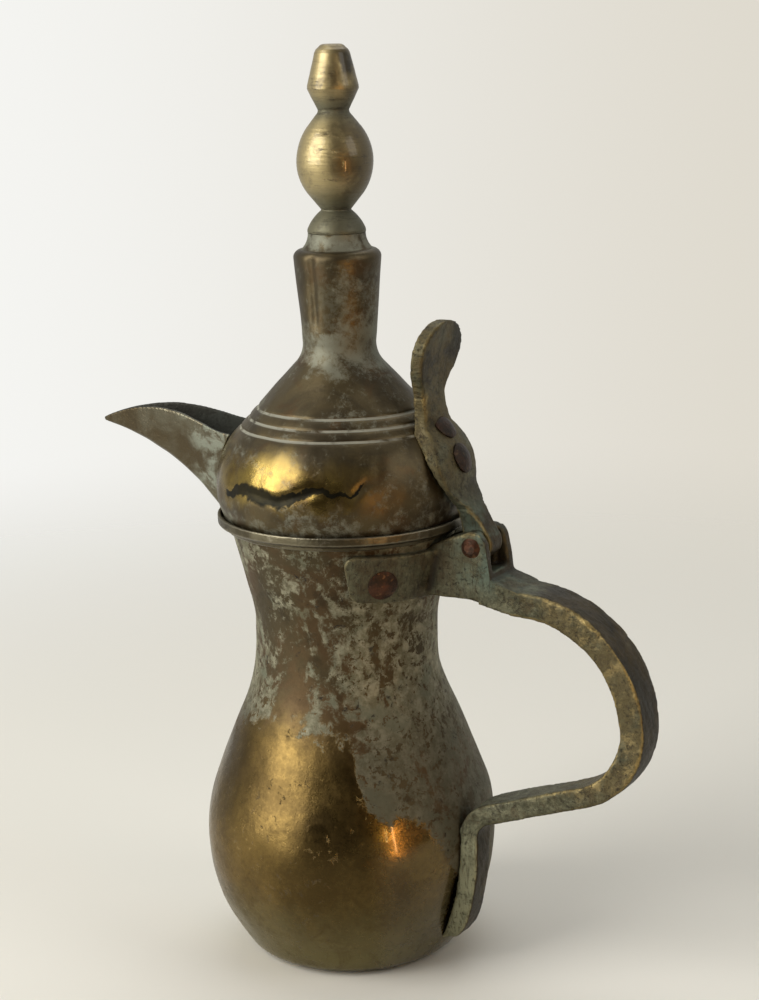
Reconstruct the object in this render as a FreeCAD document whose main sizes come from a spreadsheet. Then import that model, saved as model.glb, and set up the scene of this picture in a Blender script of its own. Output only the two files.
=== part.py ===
import FreeCAD
import Part
import Sketcher
import math
import os
import re
from types import SimpleNamespace
from FreeCAD import Placement, Rotation, Vector

# A dallah: a long-necked coffee pot with a beak, a hinged lid with a tall finial, and a cast handle.
# Millimetres. The origin is the middle of the underside, +Z is up and +X points to the handle.

driving_sizes = {
    # sheet metal of the vessel and the lid
    "wall": 1.2,
    # belly: flat bottom, rounded corner, widest place, and the arc above it
    "base_radius": 29.4,
    "base_corner": 9.0,
    "belly_radius": 49.3,
    "belly_height": 42.5,
    "belly_arc": 44.4,
    # waist, where belly and neck are joined, and how much of the room there its two arcs take
    "waist_radius": 30.3,
    "waist_height": 109.3,
    "waist_low_share": 0.727,
    "waist_high_share": 0.558,
    # mouth, whose top edge is level with the ledge of the rim band
    "mouth_radius": 37.8,
    "mouth_height": 148.3,
    # rim band: a strip round the mouth that flares out to a lip
    "band_drop": 2.8,
    "band_thick": 1.5,
    "band_bead": 0.5,
    "lip_radius": 41.6,
    "lip_thick": 1.1,
    "lip_height": 2.3,
    # pouring notch behind the spout
    "notch_width": 16.0,
    "notch_depth": 7.5,
    "notch_corner": 3.0,
    # spout: a beak that is open on top
    "spout_reach": 93.5,
    "spout_tip_rise": 26.3,
    "spout_depth": 39.6,
    "spout_crest": 5.6,
    "spout_half_width": 13.0,
    "spout_root": 34.0,
    "spout_wall": 1.2,
    "spout_lid_gap": 0.6,
    # handle casting, whose foot stands off to one side
    "grip_reach": 108.8,
    "grip_drop": 60.3,
    "grip_arc": 43.0,
    "grip_thick": 8.2,
    "grip_width": 15.0,
    "grip_shift": 1.5,
    "grip_low_arc": 19.2,
    "run_slope": 18.0,
    "run_thick": 6.6,
    "foot_bend": 13.0,
    "foot_bend_under": 5.0,
    "foot_thick": 4.4,
    "foot_width": 10.5,
    "foot_shift": 8.75,
    "foot_tip_height": 8.0,
    "casting_sink": 2.4,
    # arms of the handle, bent round the neck and a little higher at their ends
    "arm_low_drop": 20.7,
    "arm_high_drop": 4.3,
    "arm_drop": 2.4,
    "arm_thick": 3.2,
    "arm_angle": 58.0,
    "arm_round": 3.6,
    "arm_rivet_angle": 43.0,
    "arm_rivet_drop": 14.7,
    # hinge
    "hinge_standoff": 9.0,
    "hinge_drop": 4.3,
    "pin_radius": 2.0,
    "pin_clearance": 0.08,
    "pin_head_radius": 3.4,
    "pin_head_height": 1.3,
    "cheek_radius": 5.1,
    "cheek_span": 18.0,
    "knuckle_radius": 5.0,
    "knuckle_width": 8.6,
    "knuckle_gap": 0.4,
    # lid dome, and how much of its height its two arcs take
    "lid_seat_gap": 0.1,
    "dome_radius": 41.5,
    "dome_rise": 11.7,
    "dome_share": 0.565,
    "throat_share": 0.2174,
    "ring_start": 1.9,
    "ring_pitch": 4.2,
    "ring_depth": 0.4,
    "bezel_clearance": 0.6,
    "bezel_depth": 4.5,
    "bezel_thick": 1.0,
    # chimney, collar and finial
    "chimney_foot_radius": 11.9,
    "chimney_foot_rise": 57.7,
    "chimney_top_radius": 14.1,
    "chimney_height": 30.2,
    "shoulder_arc": 2.6,
    "collar_top_radius": 9.3,
    "collar_height": 5.1,
    "tang_radius": 2.6,
    "tang_head_radius": 3.9,
    "tang_head_height": 1.4,
    "washer_radius": 6.5,
    "washer_thick": 1.5,
    "finial_foot_radius": 9.4,
    "finial_foot_height": 1.2,
    "finial_bell_arc": 15.0,
    "finial_waist_radius": 4.7,
    "finial_waist_height": 7.3,
    "ball_radius": 12.2,
    "ball_arc": 17.5,
    "ball_height": 31.0,
    "knob_radius": 8.4,
    "knob_flare": 7.2,
    "knob_taper": 11.6,
    "knob_shoulder_radius": 5.6,
    "knob_top_radius": 3.4,
    "knob_cap": 2.0,
    # lid strap
    "strap_thick": 4.2,
    "strap_sink": 0.3,
    "strap_plate_width": 21.5,
    "strap_plate_rise": 22.7,
    "strap_step_width": 17.0,
    "strap_step_rise": 9.2,
    "strap_waist_width": 9.4,
    "strap_waist_rise": 42.2,
    "strap_sweep_arc": 60.0,
    "strap_sweep_rise": 45.7,
    "strap_sweep_reach": 35.4,
    "thumb_width": 23.0,
    "thumb_rise": 66.7,
    "rivet_low_rise": 22.7,
    "rivet_high_rise": 32.7,
    # rivets
    "rivet_radius": 2.6,
    "rivet_head_radius": 4.9,
    "rivet_head_height": 1.5,
    "rivet_rim": 0.3,
    "rivet_sink": 0.7,
    "rivet_back_sink": 0.2,
}

placed_sizes = {
    # arcs that keep their share of the room between the places they join
    "waist_arc_low": "waist_low_share * ((waist_radius - belly_radius + belly_arc) ^ 2 - belly_arc ^ 2"
    " + (waist_height - belly_height) ^ 2) / (2 * (belly_radius - waist_radius))",
    "waist_arc_high": "waist_high_share * ((mouth_radius - waist_radius) ^ 2"
    " + (mouth_height - waist_height) ^ 2) / (2 * (mouth_radius - waist_radius))",
    "dome_arc": "dome_share * (chimney_foot_rise - dome_rise)",
    "throat_arc": "throat_share * (chimney_foot_rise - dome_rise)",
    # what stands on the mouth or hangs from it goes with it
    "spout_tip_height": "mouth_height + spout_tip_rise",
    "grip_height": "mouth_height - grip_drop",
    "arm_low": "mouth_height - arm_low_drop",
    "arm_high": "mouth_height - arm_high_drop",
    "arm_rivet_height": "mouth_height - arm_rivet_drop",
    "hinge_height": "mouth_height - hinge_drop",
    "hinge_reach": "dome_radius + hinge_standoff",
    "chimney_foot_height": "mouth_height + chimney_foot_rise",
    "strap_plate_height": "mouth_height + strap_plate_rise",
    "strap_step_height": "mouth_height + strap_step_rise",
    "strap_waist_height": "mouth_height + strap_waist_rise",
    "strap_sweep_height": "mouth_height + strap_sweep_rise",
    "thumb_top": "mouth_height + thumb_rise",
    "strap_rivet_low": "mouth_height + rivet_low_rise",
    "strap_rivet_high": "mouth_height + rivet_high_rise",
}

doc = FreeCAD.newDocument("Dallah")
sheet = doc.addObject("Spreadsheet::Sheet", "Sizes")
sheet_lines = {alias: str(value) for alias, value in driving_sizes.items()}
sheet_lines.update({alias: "=" + formula for alias, formula in placed_sizes.items()})
for row, (alias, text) in enumerate(sheet_lines.items(), 1):
    sheet.set("A%d" % row, alias)
    sheet.set("B%d" % row, text)
    sheet.setAlias("B%d" % row, alias)
doc.recompute()
dim = SimpleNamespace(**{alias: float(sheet.get(alias)) for alias in sheet_lines})


def cell(text):
    # an expression on the sheet: every size named in the text gets the sheet's name in front
    return re.sub("[a-z_]+", lambda word: "Sizes." + word[0] if word[0] in sheet_lines else word[0], text)


def new_body(label):
    body = doc.addObject("PartDesign::Body", label)
    body.Label = label
    return body


def new_sketch(body, role, name):
    sketch = body.newObject("Sketcher::SketchObject", name)
    plane = [feature for feature in body.Origin.OriginFeatures if feature.Role == role][0]
    sketch.AttachmentSupport = (plane, [""])
    sketch.MapMode = "FlatFace"
    return sketch


class Outline:
    # A closed outline in a sketch, drawn as a pen would: lines and arcs, each from where the last one ended.

    def __init__(self, sketch, x, y):
        self.sketch = sketch
        self.start = self.here = Vector(x, y, 0)
        self.ends = []

    def add(self, geometry, first, last, smooth):
        index = self.sketch.addGeometry(geometry, False)
        if self.ends:
            kind = "Tangent" if smooth else "Coincident"
            before = self.ends[-1]
            self.sketch.addConstraint(Sketcher.Constraint(kind, before[0], before[2], index, first))
        self.ends.append((index, first, last))
        return index

    def line(self, x, y, smooth=False):
        end = Vector(x, y, 0)
        index = self.add(Part.LineSegment(self.here, end), 1, 2, smooth)
        self.here = end
        return index

    def arc(self, centre, x, y, turn, smooth=False):
        # turn is +1 for an arc that runs anticlockwise, -1 for clockwise
        middle = Vector(centre[0], centre[1], 0)
        end = Vector(x, y, 0)
        angle_here = math.atan2(self.here.y - middle.y, self.here.x - middle.x)
        angle_end = math.atan2(end.y - middle.y, end.x - middle.x)
        circle = Part.Circle(middle, Vector(0, 0, 1), (self.here - middle).Length)
        if turn > 0:
            index = self.add(Part.ArcOfCircle(circle, angle_here, angle_end), 1, 2, smooth)
        else:
            index = self.add(Part.ArcOfCircle(circle, angle_end, angle_here), 2, 1, smooth)
        self.here = end
        return index

    def close(self, smooth=False):
        if (self.here - self.start).Length > 1e-6:
            self.line(self.start.x, self.start.y, smooth)
            smooth = False
        last, first = self.ends[-1], self.ends[0]
        kind = "Tangent" if smooth else "Coincident"
        self.sketch.addConstraint(Sketcher.Constraint(kind, last[0], last[2], first[0], first[1]))

    def bind(self, constraint, expression):
        index = self.sketch.addConstraint(constraint)
        self.sketch.setExpression("Constraints[%d]" % index, cell(expression))

    def pin(self, geometry, place, x=None, y=None):
        # place: 1 and 2 are the pen's start and end of the piece, 3 is an arc's centre
        index, first, last = self.ends[geometry]
        spot = {1: first, 2: last, 3: 3}[place]
        point = self.sketch.getPoint(index, spot)
        if x is not None:
            self.bind(Sketcher.Constraint("DistanceX", -1, 1, index, spot, point.x), x)
        if y is not None:
            self.bind(Sketcher.Constraint("DistanceY", -1, 1, index, spot, point.y), y)

    def radius(self, geometry, expression):
        index = self.ends[geometry][0]
        self.bind(Sketcher.Constraint("Radius", index, self.sketch.Geometry[index].Radius), expression)

    def concentric(self, geometry, other):
        indexes = self.ends[geometry][0], self.ends[other][0]
        self.sketch.addConstraint(Sketcher.Constraint("Coincident", indexes[0], 3, indexes[1], 3))

    def level(self, geometry):
        self.sketch.addConstraint(Sketcher.Constraint("Horizontal", self.ends[geometry][0]))

    def upright(self, geometry):
        self.sketch.addConstraint(Sketcher.Constraint("Vertical", self.ends[geometry][0]))


def revolve(body, sketch, name, kind="PartDesign::Revolution"):
    feature = body.newObject(kind, name)
    feature.Profile = sketch
    feature.ReferenceAxis = (sketch, ["V_Axis"])
    feature.Angle = 360
    return feature


def pad(body, sketch, name, length):
    # a pad that goes equally to both sides of its sketch
    feature = body.newObject("PartDesign::Pad", name)
    feature.Profile = sketch
    feature.SideType = "Symmetric"
    feature.setExpression("Length", cell(length))
    return feature


def polar(centre, radius, angle):
    return centre[0] + radius * math.cos(angle), centre[1] + radius * math.sin(angle)


def cross_tangent(c1, r1, c2, r2):
    # the straight run between two circles that lie on its two sides, as its two end points
    dx, dy = c2[0] - c1[0], c2[1] - c1[1]
    angle = math.atan2(dy, dx) - math.acos((r1 + r2) / math.hypot(dx, dy))
    return polar(c1, r1, angle), polar(c2, -r2, angle)


def tangent_from(point, centre, radius, side):
    # where a line from the point touches the circle
    dx, dy = point[0] - centre[0], point[1] - centre[1]
    angle = math.atan2(dy, dx) + side * math.acos(radius / math.hypot(dx, dy))
    return polar(centre, radius, angle)


def arc_centre(p1, p2, radius):
    # the centre of an arc that runs anticlockwise from one point to the other
    dx, dy = p2[0] - p1[0], p2[1] - p1[1]
    chord = math.hypot(dx, dy)
    away = math.sqrt(radius ** 2 - chord ** 2 / 4) / chord
    return (p1[0] + p2[0]) / 2 - dy * away, (p1[1] + p2[1]) / 2 + dx * away


# Outline of the vessel, shared by every piece that touches it
corner_centre = (dim.base_radius, dim.base_corner)
corner_shift = dim.base_radius - dim.belly_radius
corner_drop = dim.belly_height - dim.base_corner
low_arc = (dim.base_corner ** 2 - corner_shift ** 2 - corner_drop ** 2) / (2 * (corner_shift + dim.base_corner))
low_centre = (dim.belly_radius - low_arc, dim.belly_height)
low_angle = math.atan2(corner_centre[1] - low_centre[1], corner_centre[0] - low_centre[0])
high_centre = (dim.belly_radius - dim.belly_arc, dim.belly_height)
waist_low_centre = (dim.waist_radius + dim.waist_arc_low, dim.waist_height)
waist_high_centre = (dim.waist_radius + dim.waist_arc_high, dim.waist_height)
mouth = (dim.mouth_radius, dim.mouth_height)
neck_start = tangent_from(mouth, waist_high_centre, dim.waist_arc_high, 1)
neck_slope = (mouth[0] - neck_start[0]) / (mouth[1] - neck_start[1])


def neck_radius(height):
    return mouth[0] + (height - mouth[1]) * neck_slope


band_foot = dim.mouth_height - dim.band_drop
band_bead_height = band_foot + dim.band_drop / 3
lip_top = dim.mouth_height + dim.lip_height
lid_edge = dim.mouth_height + dim.lid_seat_gap
dome_middle = dim.mouth_height + dim.dome_rise
dome_centre = (dim.dome_radius - dim.dome_arc, dome_middle)
throat_centre = (dim.chimney_foot_radius + dim.throat_arc, dim.chimney_foot_height)
chimney_top = dim.chimney_foot_height + dim.chimney_height
collar_top = chimney_top + dim.collar_height
hinge = (dim.hinge_reach, dim.hinge_height)


def dome_point(height, offset):
    # a point of the dome's round part, the offset out from its surface
    angle = math.asin((height - dome_middle) / (dim.dome_arc + offset))
    return polar(dome_centre, dim.dome_arc + offset, angle)


def draw_vessel(sketch, above):
    # the vessel's whole inside and wall, as one region from the axis out, to the top given by 'above'
    pen = Outline(sketch, 0, 0)
    pen.line(dim.base_radius, 0)
    pen.arc(corner_centre, *polar(corner_centre, dim.base_corner, low_angle), 1, True)
    pen.arc(low_centre, dim.belly_radius, dim.belly_height, 1, True)
    t1, t2 = cross_tangent(high_centre, dim.belly_arc, waist_low_centre, dim.waist_arc_low)
    pen.arc(high_centre, *t1, 1, True)
    pen.line(*t2, True)
    pen.arc(waist_low_centre, dim.waist_radius, dim.waist_height, -1, True)
    pen.arc(waist_high_centre, *neck_start, -1, True)
    pen.line(neck_radius(band_foot), band_foot, True)
    draw_band(pen)
    if above:
        draw_lid_room(pen)
    pen.line(0, pen.here.y)
    pen.close()
    return pen


def draw_band(pen):
    # the outside of the rim band: a strip with a bead round it, and a lip that flares out
    strip = neck_radius(band_foot) + dim.band_thick
    pen.line(strip, band_foot)
    pen.line(strip + dim.band_bead, band_bead_height)
    pen.line(strip, dim.mouth_height - 3 * dim.band_bead)
    pen.line(dim.lip_radius, dim.mouth_height - dim.band_bead)
    pen.line(dim.lip_radius, lip_top)


def draw_lid_room(pen):
    # room for the closed lid: the dome's outside with a gap all round
    gap = dim.spout_lid_gap
    start = dome_point(lip_top, gap)
    pen.line(*start)
    pen.arc(dome_centre, *polar(dome_centre, dim.dome_arc + gap, math.radians(40)), 1)
    pen.line(dim.dome_radius / 2, dim.chimney_foot_height)


def make_base_disc():
    body = new_body("base_disc")
    sketch = new_sketch(body, "XZ_Plane", "base_section")
    pen = Outline(sketch, 0, 0)
    pen.line(dim.base_radius, 0)
    pen.line(dim.base_radius, dim.wall)
    pen.line(0, dim.wall)
    pen.close()
    pen.pin(0, 1, "0", "0")
    pen.pin(0, 2, "base_radius", "0")
    pen.pin(2, 1, "base_radius", "wall")
    pen.pin(2, 2, "0", "wall")
    revolve(body, sketch, "base_disc_turned")
    return body


def make_belly():
    body = new_body("belly")
    sketch = new_sketch(body, "XZ_Plane", "belly_section")
    wall = dim.wall
    pen = Outline(sketch, dim.base_radius, 0)
    pen.arc(corner_centre, *polar(corner_centre, dim.base_corner, low_angle), 1)
    pen.arc(low_centre, dim.belly_radius, dim.belly_height, 1, True)
    t1, t2 = cross_tangent(high_centre, dim.belly_arc, waist_low_centre, dim.waist_arc_low)
    pen.arc(high_centre, *t1, 1, True)
    pen.line(*t2, True)
    pen.arc(waist_low_centre, dim.waist_radius, dim.waist_height, -1, True)
    pen.line(dim.waist_radius - wall, dim.waist_height)
    t1, t2 = cross_tangent(high_centre, dim.belly_arc - wall, waist_low_centre, dim.waist_arc_low + wall)
    pen.arc(waist_low_centre, *t2, 1)
    pen.line(*t1, True)
    pen.arc(high_centre, dim.belly_radius - wall, dim.belly_height, -1, True)
    pen.arc(low_centre, *polar(corner_centre, dim.base_corner - wall, low_angle), -1, True)
    pen.arc(corner_centre, dim.base_radius, wall, -1, True)
    pen.close()
    pen.pin(0, 1, "base_radius", "0")
    pen.pin(0, 3, "base_radius", "base_corner")
    pen.pin(1, 2, "belly_radius", "belly_height")
    pen.pin(1, 3, None, "belly_height")
    pen.radius(2, "belly_arc")
    pen.pin(4, 2, "waist_radius", "waist_height")
    pen.pin(4, 3, "waist_radius + waist_arc_low", "waist_height")
    pen.pin(5, 2, "waist_radius - wall", "waist_height")
    pen.concentric(6, 4)
    pen.concentric(8, 2)
    pen.pin(8, 2, "belly_radius - wall", None)
    pen.concentric(9, 1)
    pen.concentric(10, 0)
    pen.upright(11)
    revolve(body, sketch, "belly_turned")
    return body


def notch_outline(body, name):
    # the pouring notch, seen along X: straight sides and rounded lower corners
    sketch = new_sketch(body, "YZ_Plane", name)
    half = dim.notch_width / 2
    foot = dim.mouth_height - dim.notch_depth
    top = lip_top + dim.lip_height
    round_at = foot + dim.notch_corner
    inner = half - dim.notch_corner
    pen = Outline(sketch, -inner, foot)
    pen.line(inner, foot)
    pen.arc((inner, round_at), half, round_at, 1, True)
    pen.line(half, top, True)
    pen.line(-half, top)
    pen.line(-half, round_at)
    pen.arc((-inner, round_at), -inner, foot, 1, True)
    pen.close(True)
    pen.pin(2, 1, "notch_width / 2", "mouth_height - notch_depth + notch_corner")
    pen.pin(1, 1, "notch_width / 2 - notch_corner", "mouth_height - notch_depth")
    pen.pin(3, 1, None, "mouth_height + 2 * lip_height")
    return sketch


def cut_notch(body, name):
    # the notch goes through the wall on the spout's side only
    sketch = notch_outline(body, name)
    pocket = body.newObject("PartDesign::Pocket", name + "_cut")
    pocket.Profile = sketch
    pocket.setExpression("Length", cell("spout_reach"))
    return pocket


def make_neck():
    body = new_body("neck_shell")
    sketch = new_sketch(body, "XZ_Plane", "neck_section")
    wall = dim.wall
    inner_mouth = (dim.mouth_radius - wall, dim.mouth_height)
    inner_start = tangent_from(inner_mouth, waist_high_centre, dim.waist_arc_high + wall, 1)
    pen = Outline(sketch, dim.waist_radius, dim.waist_height)
    pen.arc(waist_high_centre, *neck_start, -1)
    pen.line(*mouth, True)
    pen.line(*inner_mouth)
    pen.line(*inner_start)
    pen.arc(waist_high_centre, dim.waist_radius - wall, dim.waist_height, 1, True)
    pen.close()
    pen.pin(0, 1, "waist_radius", "waist_height")
    pen.pin(0, 3, "waist_radius + waist_arc_high", "waist_height")
    pen.pin(1, 2, "mouth_radius", "mouth_height")
    pen.pin(2, 2, "mouth_radius - wall", "mouth_height")
    pen.concentric(4, 0)
    pen.pin(4, 2, "waist_radius - wall", "waist_height")
    revolve(body, sketch, "neck_turned")
    cut_notch(body, "neck_notch")
    return body


def make_rim_band():
    body = new_body("rim_band")
    sketch = new_sketch(body, "XZ_Plane", "band_section")
    pen = Outline(sketch, neck_radius(band_foot), band_foot)
    draw_band(pen)
    lip_inside = dim.lip_radius - dim.lip_thick
    pen.line(lip_inside, lip_top)
    pen.line(lip_inside, dim.mouth_height)
    pen.line(*mouth)
    pen.close()
    pen.pin(0, 1, None, "mouth_height - band_drop")
    pen.level(0)
    pen.pin(1, 2, None, "mouth_height - band_drop * 2 / 3")
    pen.pin(2, 2, None, "mouth_height - 3 * band_bead")
    pen.pin(3, 2, "lip_radius", "mouth_height - band_bead")
    pen.upright(4)
    pen.pin(5, 2, "lip_radius - lip_thick", "mouth_height + lip_height")
    pen.level(5)
    pen.upright(6)
    pen.pin(7, 1, None, "mouth_height")
    pen.pin(7, 2, "mouth_radius", "mouth_height")
    revolve(body, sketch, "band_turned")
    cut_notch(body, "band_notch")
    return body


# Spout: stations from the root to the tip, as shares of the way along the beak
# Each gives its keel's depth below the tip, its top edge's height above it, and its half width, as shares of
# the deepest, the highest and the widest of them
spout_shares = (
    (0.00, 1.000, 0.107, 1.000),
    (0.24, 0.611, 0.464, 0.738),
    (0.45, 0.359, 0.964, 0.538),
    (0.66, 0.187, 1.000, 0.362),
    (0.85, 0.086, 0.607, 0.200),
    (1.00, 0.030, 0.000, 0.077),
)
spout_stations = [
    (share, keel * dim.spout_depth, top * dim.spout_crest, half * dim.spout_half_width)
    for share, keel, top, half in spout_shares
]


def spout_section(body, name, share, keel, top, half, lift):
    # one cross-section of the beak: a round keel, sides that open upwards, and a level top
    reach = dim.spout_root + share * (dim.spout_reach - dim.spout_root)
    sketch = new_sketch(body, "YZ_Plane", name)
    sketch.AttachmentOffset = Placement(Vector(0, 0, -reach), Rotation())
    where = "-(spout_root + %g * (spout_reach - spout_root))" % share
    sketch.setExpression("AttachmentOffset.Base.z", cell(where))
    low = dim.spout_tip_height - keel
    high = dim.spout_tip_height + top
    side = 0.72 * half
    rise = min(0.55 * side, 0.6 * (high - low))
    radius = (side ** 2 + rise ** 2) / (2 * rise)
    pen = Outline(sketch, side, low + rise)
    pen.line(half, high + lift)
    pen.line(-half, high + lift)
    pen.line(-side, low + rise)
    pen.arc((0, low + radius), side, low + rise, 1)
    pen.close()
    return sketch


def make_spout():
    body = new_body("spout")
    outer = []
    for number, (share, keel, top, half) in enumerate(spout_stations):
        outer.append(spout_section(body, "beak_%d" % number, share, keel, top, half, 0))
    shell = body.newObject("PartDesign::AdditiveLoft", "beak")
    shell.Profile = outer[0]
    shell.Sections = outer[1:]
    doc.recompute()
    inner = []
    open_top = 2 * dim.spout_wall
    for number, (share, keel, top, half) in enumerate(spout_stations):
        slim = max(half - dim.spout_wall, dim.spout_wall / 4)
        floor = max(keel - dim.spout_wall, dim.spout_wall / 3)
        inner.append(spout_section(body, "channel_%d" % number, share, floor, top, slim, open_top))
    channel = body.newObject("PartDesign::SubtractiveLoft", "channel")
    channel.Profile = inner[0]
    channel.Sections = inner[1:]
    doc.recompute()
    room = new_sketch(body, "XZ_Plane", "vessel_room")
    draw_vessel(room, True)
    revolve(body, room, "vessel_room_cut", "PartDesign::Groove")
    return body


def draw_grip(sketch):
    # the handle's side view: root, grip, lower run, bend and foot
    apex = (dim.grip_reach, dim.grip_height)
    upper = (dim.grip_reach - dim.grip_arc, dim.grip_height)
    inner_apex = dim.grip_reach - dim.grip_thick
    inner_arc = dim.grip_arc - dim.grip_thick
    lower = (inner_apex - dim.grip_low_arc, dim.grip_height)
    slope = math.radians(dim.run_slope)
    down = -math.pi / 2 + slope
    run_top = polar(lower, dim.grip_low_arc, down)
    # the lower outer arc touches the grip's outside at the apex and the underside of the run
    along = math.cos(down) * (dim.grip_reach - lower[0])
    outer_low_arc = (dim.grip_low_arc + dim.run_thick - along) / (1 - math.cos(down))
    outer_low = (dim.grip_reach - outer_low_arc, dim.grip_height)
    run_under = polar(outer_low, outer_low_arc, down)
    bend_top = bend_centre(run_top, slope, dim.foot_bend, dim.belly_arc - dim.casting_sink)
    bend_under = bend_centre(run_under, slope, dim.foot_bend_under, dim.belly_arc + dim.foot_thick)
    root = dim.waist_radius
    root_low = dim.grip_height + dim.grip_arc
    tip_inside = foot_point(dim.foot_tip_height, -dim.casting_sink)
    tip_outside = foot_point(dim.foot_tip_height + dim.foot_thick / 2, dim.foot_thick)
    pen = Outline(sketch, root, root_low + dim.grip_thick / 2)
    pen.line(root, root_low)
    pen.line(upper[0], dim.grip_height + inner_arc)
    pen.arc(upper, inner_apex, dim.grip_height, -1)
    pen.arc(lower, *run_top, -1, True)
    pen.line(*polar(bend_top, dim.foot_bend, slope + math.pi / 2), True)
    touch = math.atan2(bend_top[1] - high_centre[1], bend_top[0] - high_centre[0])
    pen.arc(bend_top, *polar(high_centre, dim.belly_arc - dim.casting_sink, touch), 1, True)
    pen.arc(high_centre, dim.belly_radius - dim.casting_sink, dim.belly_height, -1, True)
    pen.arc(low_centre, *tip_inside, -1, True)
    pen.line(*tip_outside)
    pen.arc(low_centre, dim.belly_radius + dim.foot_thick, dim.belly_height, 1)
    touch = math.atan2(bend_under[1] - high_centre[1], bend_under[0] - high_centre[0])
    pen.arc(high_centre, *polar(high_centre, dim.belly_arc + dim.foot_thick, touch), 1, True)
    pen.arc(bend_under, *polar(bend_under, dim.foot_bend_under, slope + math.pi / 2), -1, True)
    pen.line(*run_under, True)
    pen.arc(outer_low, *apex, 1, True)
    pen.arc(upper, upper[0], dim.grip_height + dim.grip_arc, 1, True)
    pen.close()
    pen.pin(0, 1, "waist_radius", "grip_height + grip_arc + grip_thick / 2")
    pen.pin(1, 1, "waist_radius", "grip_height + grip_arc")
    pen.pin(2, 2, "grip_reach - grip_thick", "grip_height")
    pen.pin(2, 3, "grip_reach - grip_arc", "grip_height")
    pen.radius(3, "grip_low_arc")
    pen.radius(5, "foot_bend")
    pen.radius(11, "foot_bend_under")
    pen.pin(14, 1, "grip_reach", "grip_height")
    pen.radius(14, "grip_arc")


def bend_centre(point, slope, bend, belly):
    # the centre of an arc that lies under a sloping line through the point and touches the belly's arc
    start = (point[0] + bend * math.sin(slope), point[1] - bend * math.cos(slope))
    away = (start[0] - high_centre[0], start[1] - high_centre[1])
    across = away[0] * math.cos(slope) + away[1] * math.sin(slope)
    rest = away[0] ** 2 + away[1] ** 2 - (belly + bend) ** 2
    step = -across + math.sqrt(across ** 2 - rest)
    return start[0] + step * math.cos(slope), start[1] + step * math.sin(slope)


def foot_point(height, offset):
    # a point on the belly's lower arc, the offset out from it
    angle = math.asin((height - dim.belly_height) / (low_arc + offset))
    return polar(low_centre, low_arc + offset, angle)


def draw_grip_front(sketch):
    # the handle seen along X: it narrows and moves to one side on its way down to the foot
    top = dim.grip_height + dim.grip_arc + dim.grip_thick
    half, foot_half = dim.grip_width / 2, dim.foot_width / 2
    pen = Outline(sketch, -dim.foot_shift - foot_half, 0)
    pen.line(-dim.foot_shift + foot_half, 0)
    pen.line(-dim.foot_shift + foot_half, dim.belly_height)
    pen.line(half - dim.grip_shift, dim.grip_height)
    pen.line(half, top)
    pen.line(-half, top)
    pen.line(-half - dim.grip_shift, dim.grip_height)
    pen.line(-dim.foot_shift - foot_half, dim.belly_height)
    pen.close()
    pen.pin(0, 1, "-foot_shift - foot_width / 2", "0")
    pen.pin(0, 2, "-foot_shift + foot_width / 2", "0")
    pen.pin(1, 2, "-foot_shift + foot_width / 2", "belly_height")
    pen.pin(2, 2, "grip_width / 2 - grip_shift", "grip_height")
    pen.pin(3, 2, "grip_width / 2", "grip_height + grip_arc + grip_thick")
    pen.pin(4, 2, "-grip_width / 2", "grip_height + grip_arc + grip_thick")
    pen.pin(5, 2, "-grip_width / 2 - grip_shift", "grip_height")
    pen.pin(6, 2, "-foot_shift - foot_width / 2", "belly_height")


def draw_cheek(sketch):
    # the hinge cheek's side view: a lug round the pin that runs down into the root of the handle
    root = dim.waist_radius
    right = (dim.grip_reach - dim.grip_arc, dim.grip_height + dim.grip_arc)
    shoulder = (hinge[0] + 1.3 * dim.cheek_radius, right[1] + dim.grip_thick / 3)
    left = (root, dim.arm_high - dim.arm_drop)
    left_touch = tangent_from(left, hinge, dim.cheek_radius, -1)
    right_touch = tangent_from(shoulder, hinge, dim.cheek_radius, 1)
    low = right[1] - dim.grip_thick / 2
    pen = Outline(sketch, root, low)
    pen.line(right[0], low)
    pen.line(*right)
    pen.line(*shoulder)
    pen.line(*right_touch)
    pen.arc(hinge, *left_touch, 1, True)
    pen.line(*left, True)
    pen.close()
    pen.pin(4, 3, "hinge_reach", "hinge_height")
    pen.radius(4, "cheek_radius")


def draw_arm_ring(sketch):
    # a ring round the neck, thick enough for the arms and cut away behind by the neck itself
    low, high = dim.arm_low - 2 * dim.arm_drop, dim.arm_high + dim.rivet_rim
    pen = Outline(sketch, neck_radius(low) - dim.casting_sink, low)
    pen.line(neck_radius(low) + dim.arm_thick, low)
    pen.line(neck_radius(high) + dim.arm_thick, high)
    pen.line(neck_radius(high) - dim.casting_sink, high)
    pen.close()
    pen.level(0)
    pen.level(2)
    pen.pin(0, 1, None, "arm_low - 2 * arm_drop")
    pen.pin(2, 1, None, "arm_high + rivet_rim")


def draw_arm_side(sketch):
    # the arms' side view: a strip that sinks towards the hinge, with round corners at its free end
    end = neck_radius(dim.arm_rivet_height) * math.cos(math.radians(dim.arm_angle))
    fall = dim.arm_drop / (dim.hinge_reach - end)
    tilt = math.sqrt(1 + fall ** 2)
    arc = dim.arm_round
    low = (end + arc, dim.arm_low - fall * arc + arc * tilt)
    high = (end + arc, dim.arm_high - fall * arc - arc * tilt)
    pen = Outline(sketch, dim.hinge_reach, dim.arm_high - dim.arm_drop)
    pen.line(high[0] + arc * fall / tilt, high[1] + arc / tilt)
    pen.arc(high, end, high[1], 1, True)
    pen.line(end, low[1], True)
    pen.arc(low, low[0] - arc * fall / tilt, low[1] - arc / tilt, 1, True)
    pen.line(dim.hinge_reach, dim.arm_low - dim.arm_drop, True)
    pen.close()
    pen.pin(0, 1, "hinge_reach", "arm_high - arm_drop")
    pen.radius(1, "arm_round")
    pen.radius(3, "arm_round")
    pen.pin(4, 2, "hinge_reach", "arm_low - arm_drop")


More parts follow.
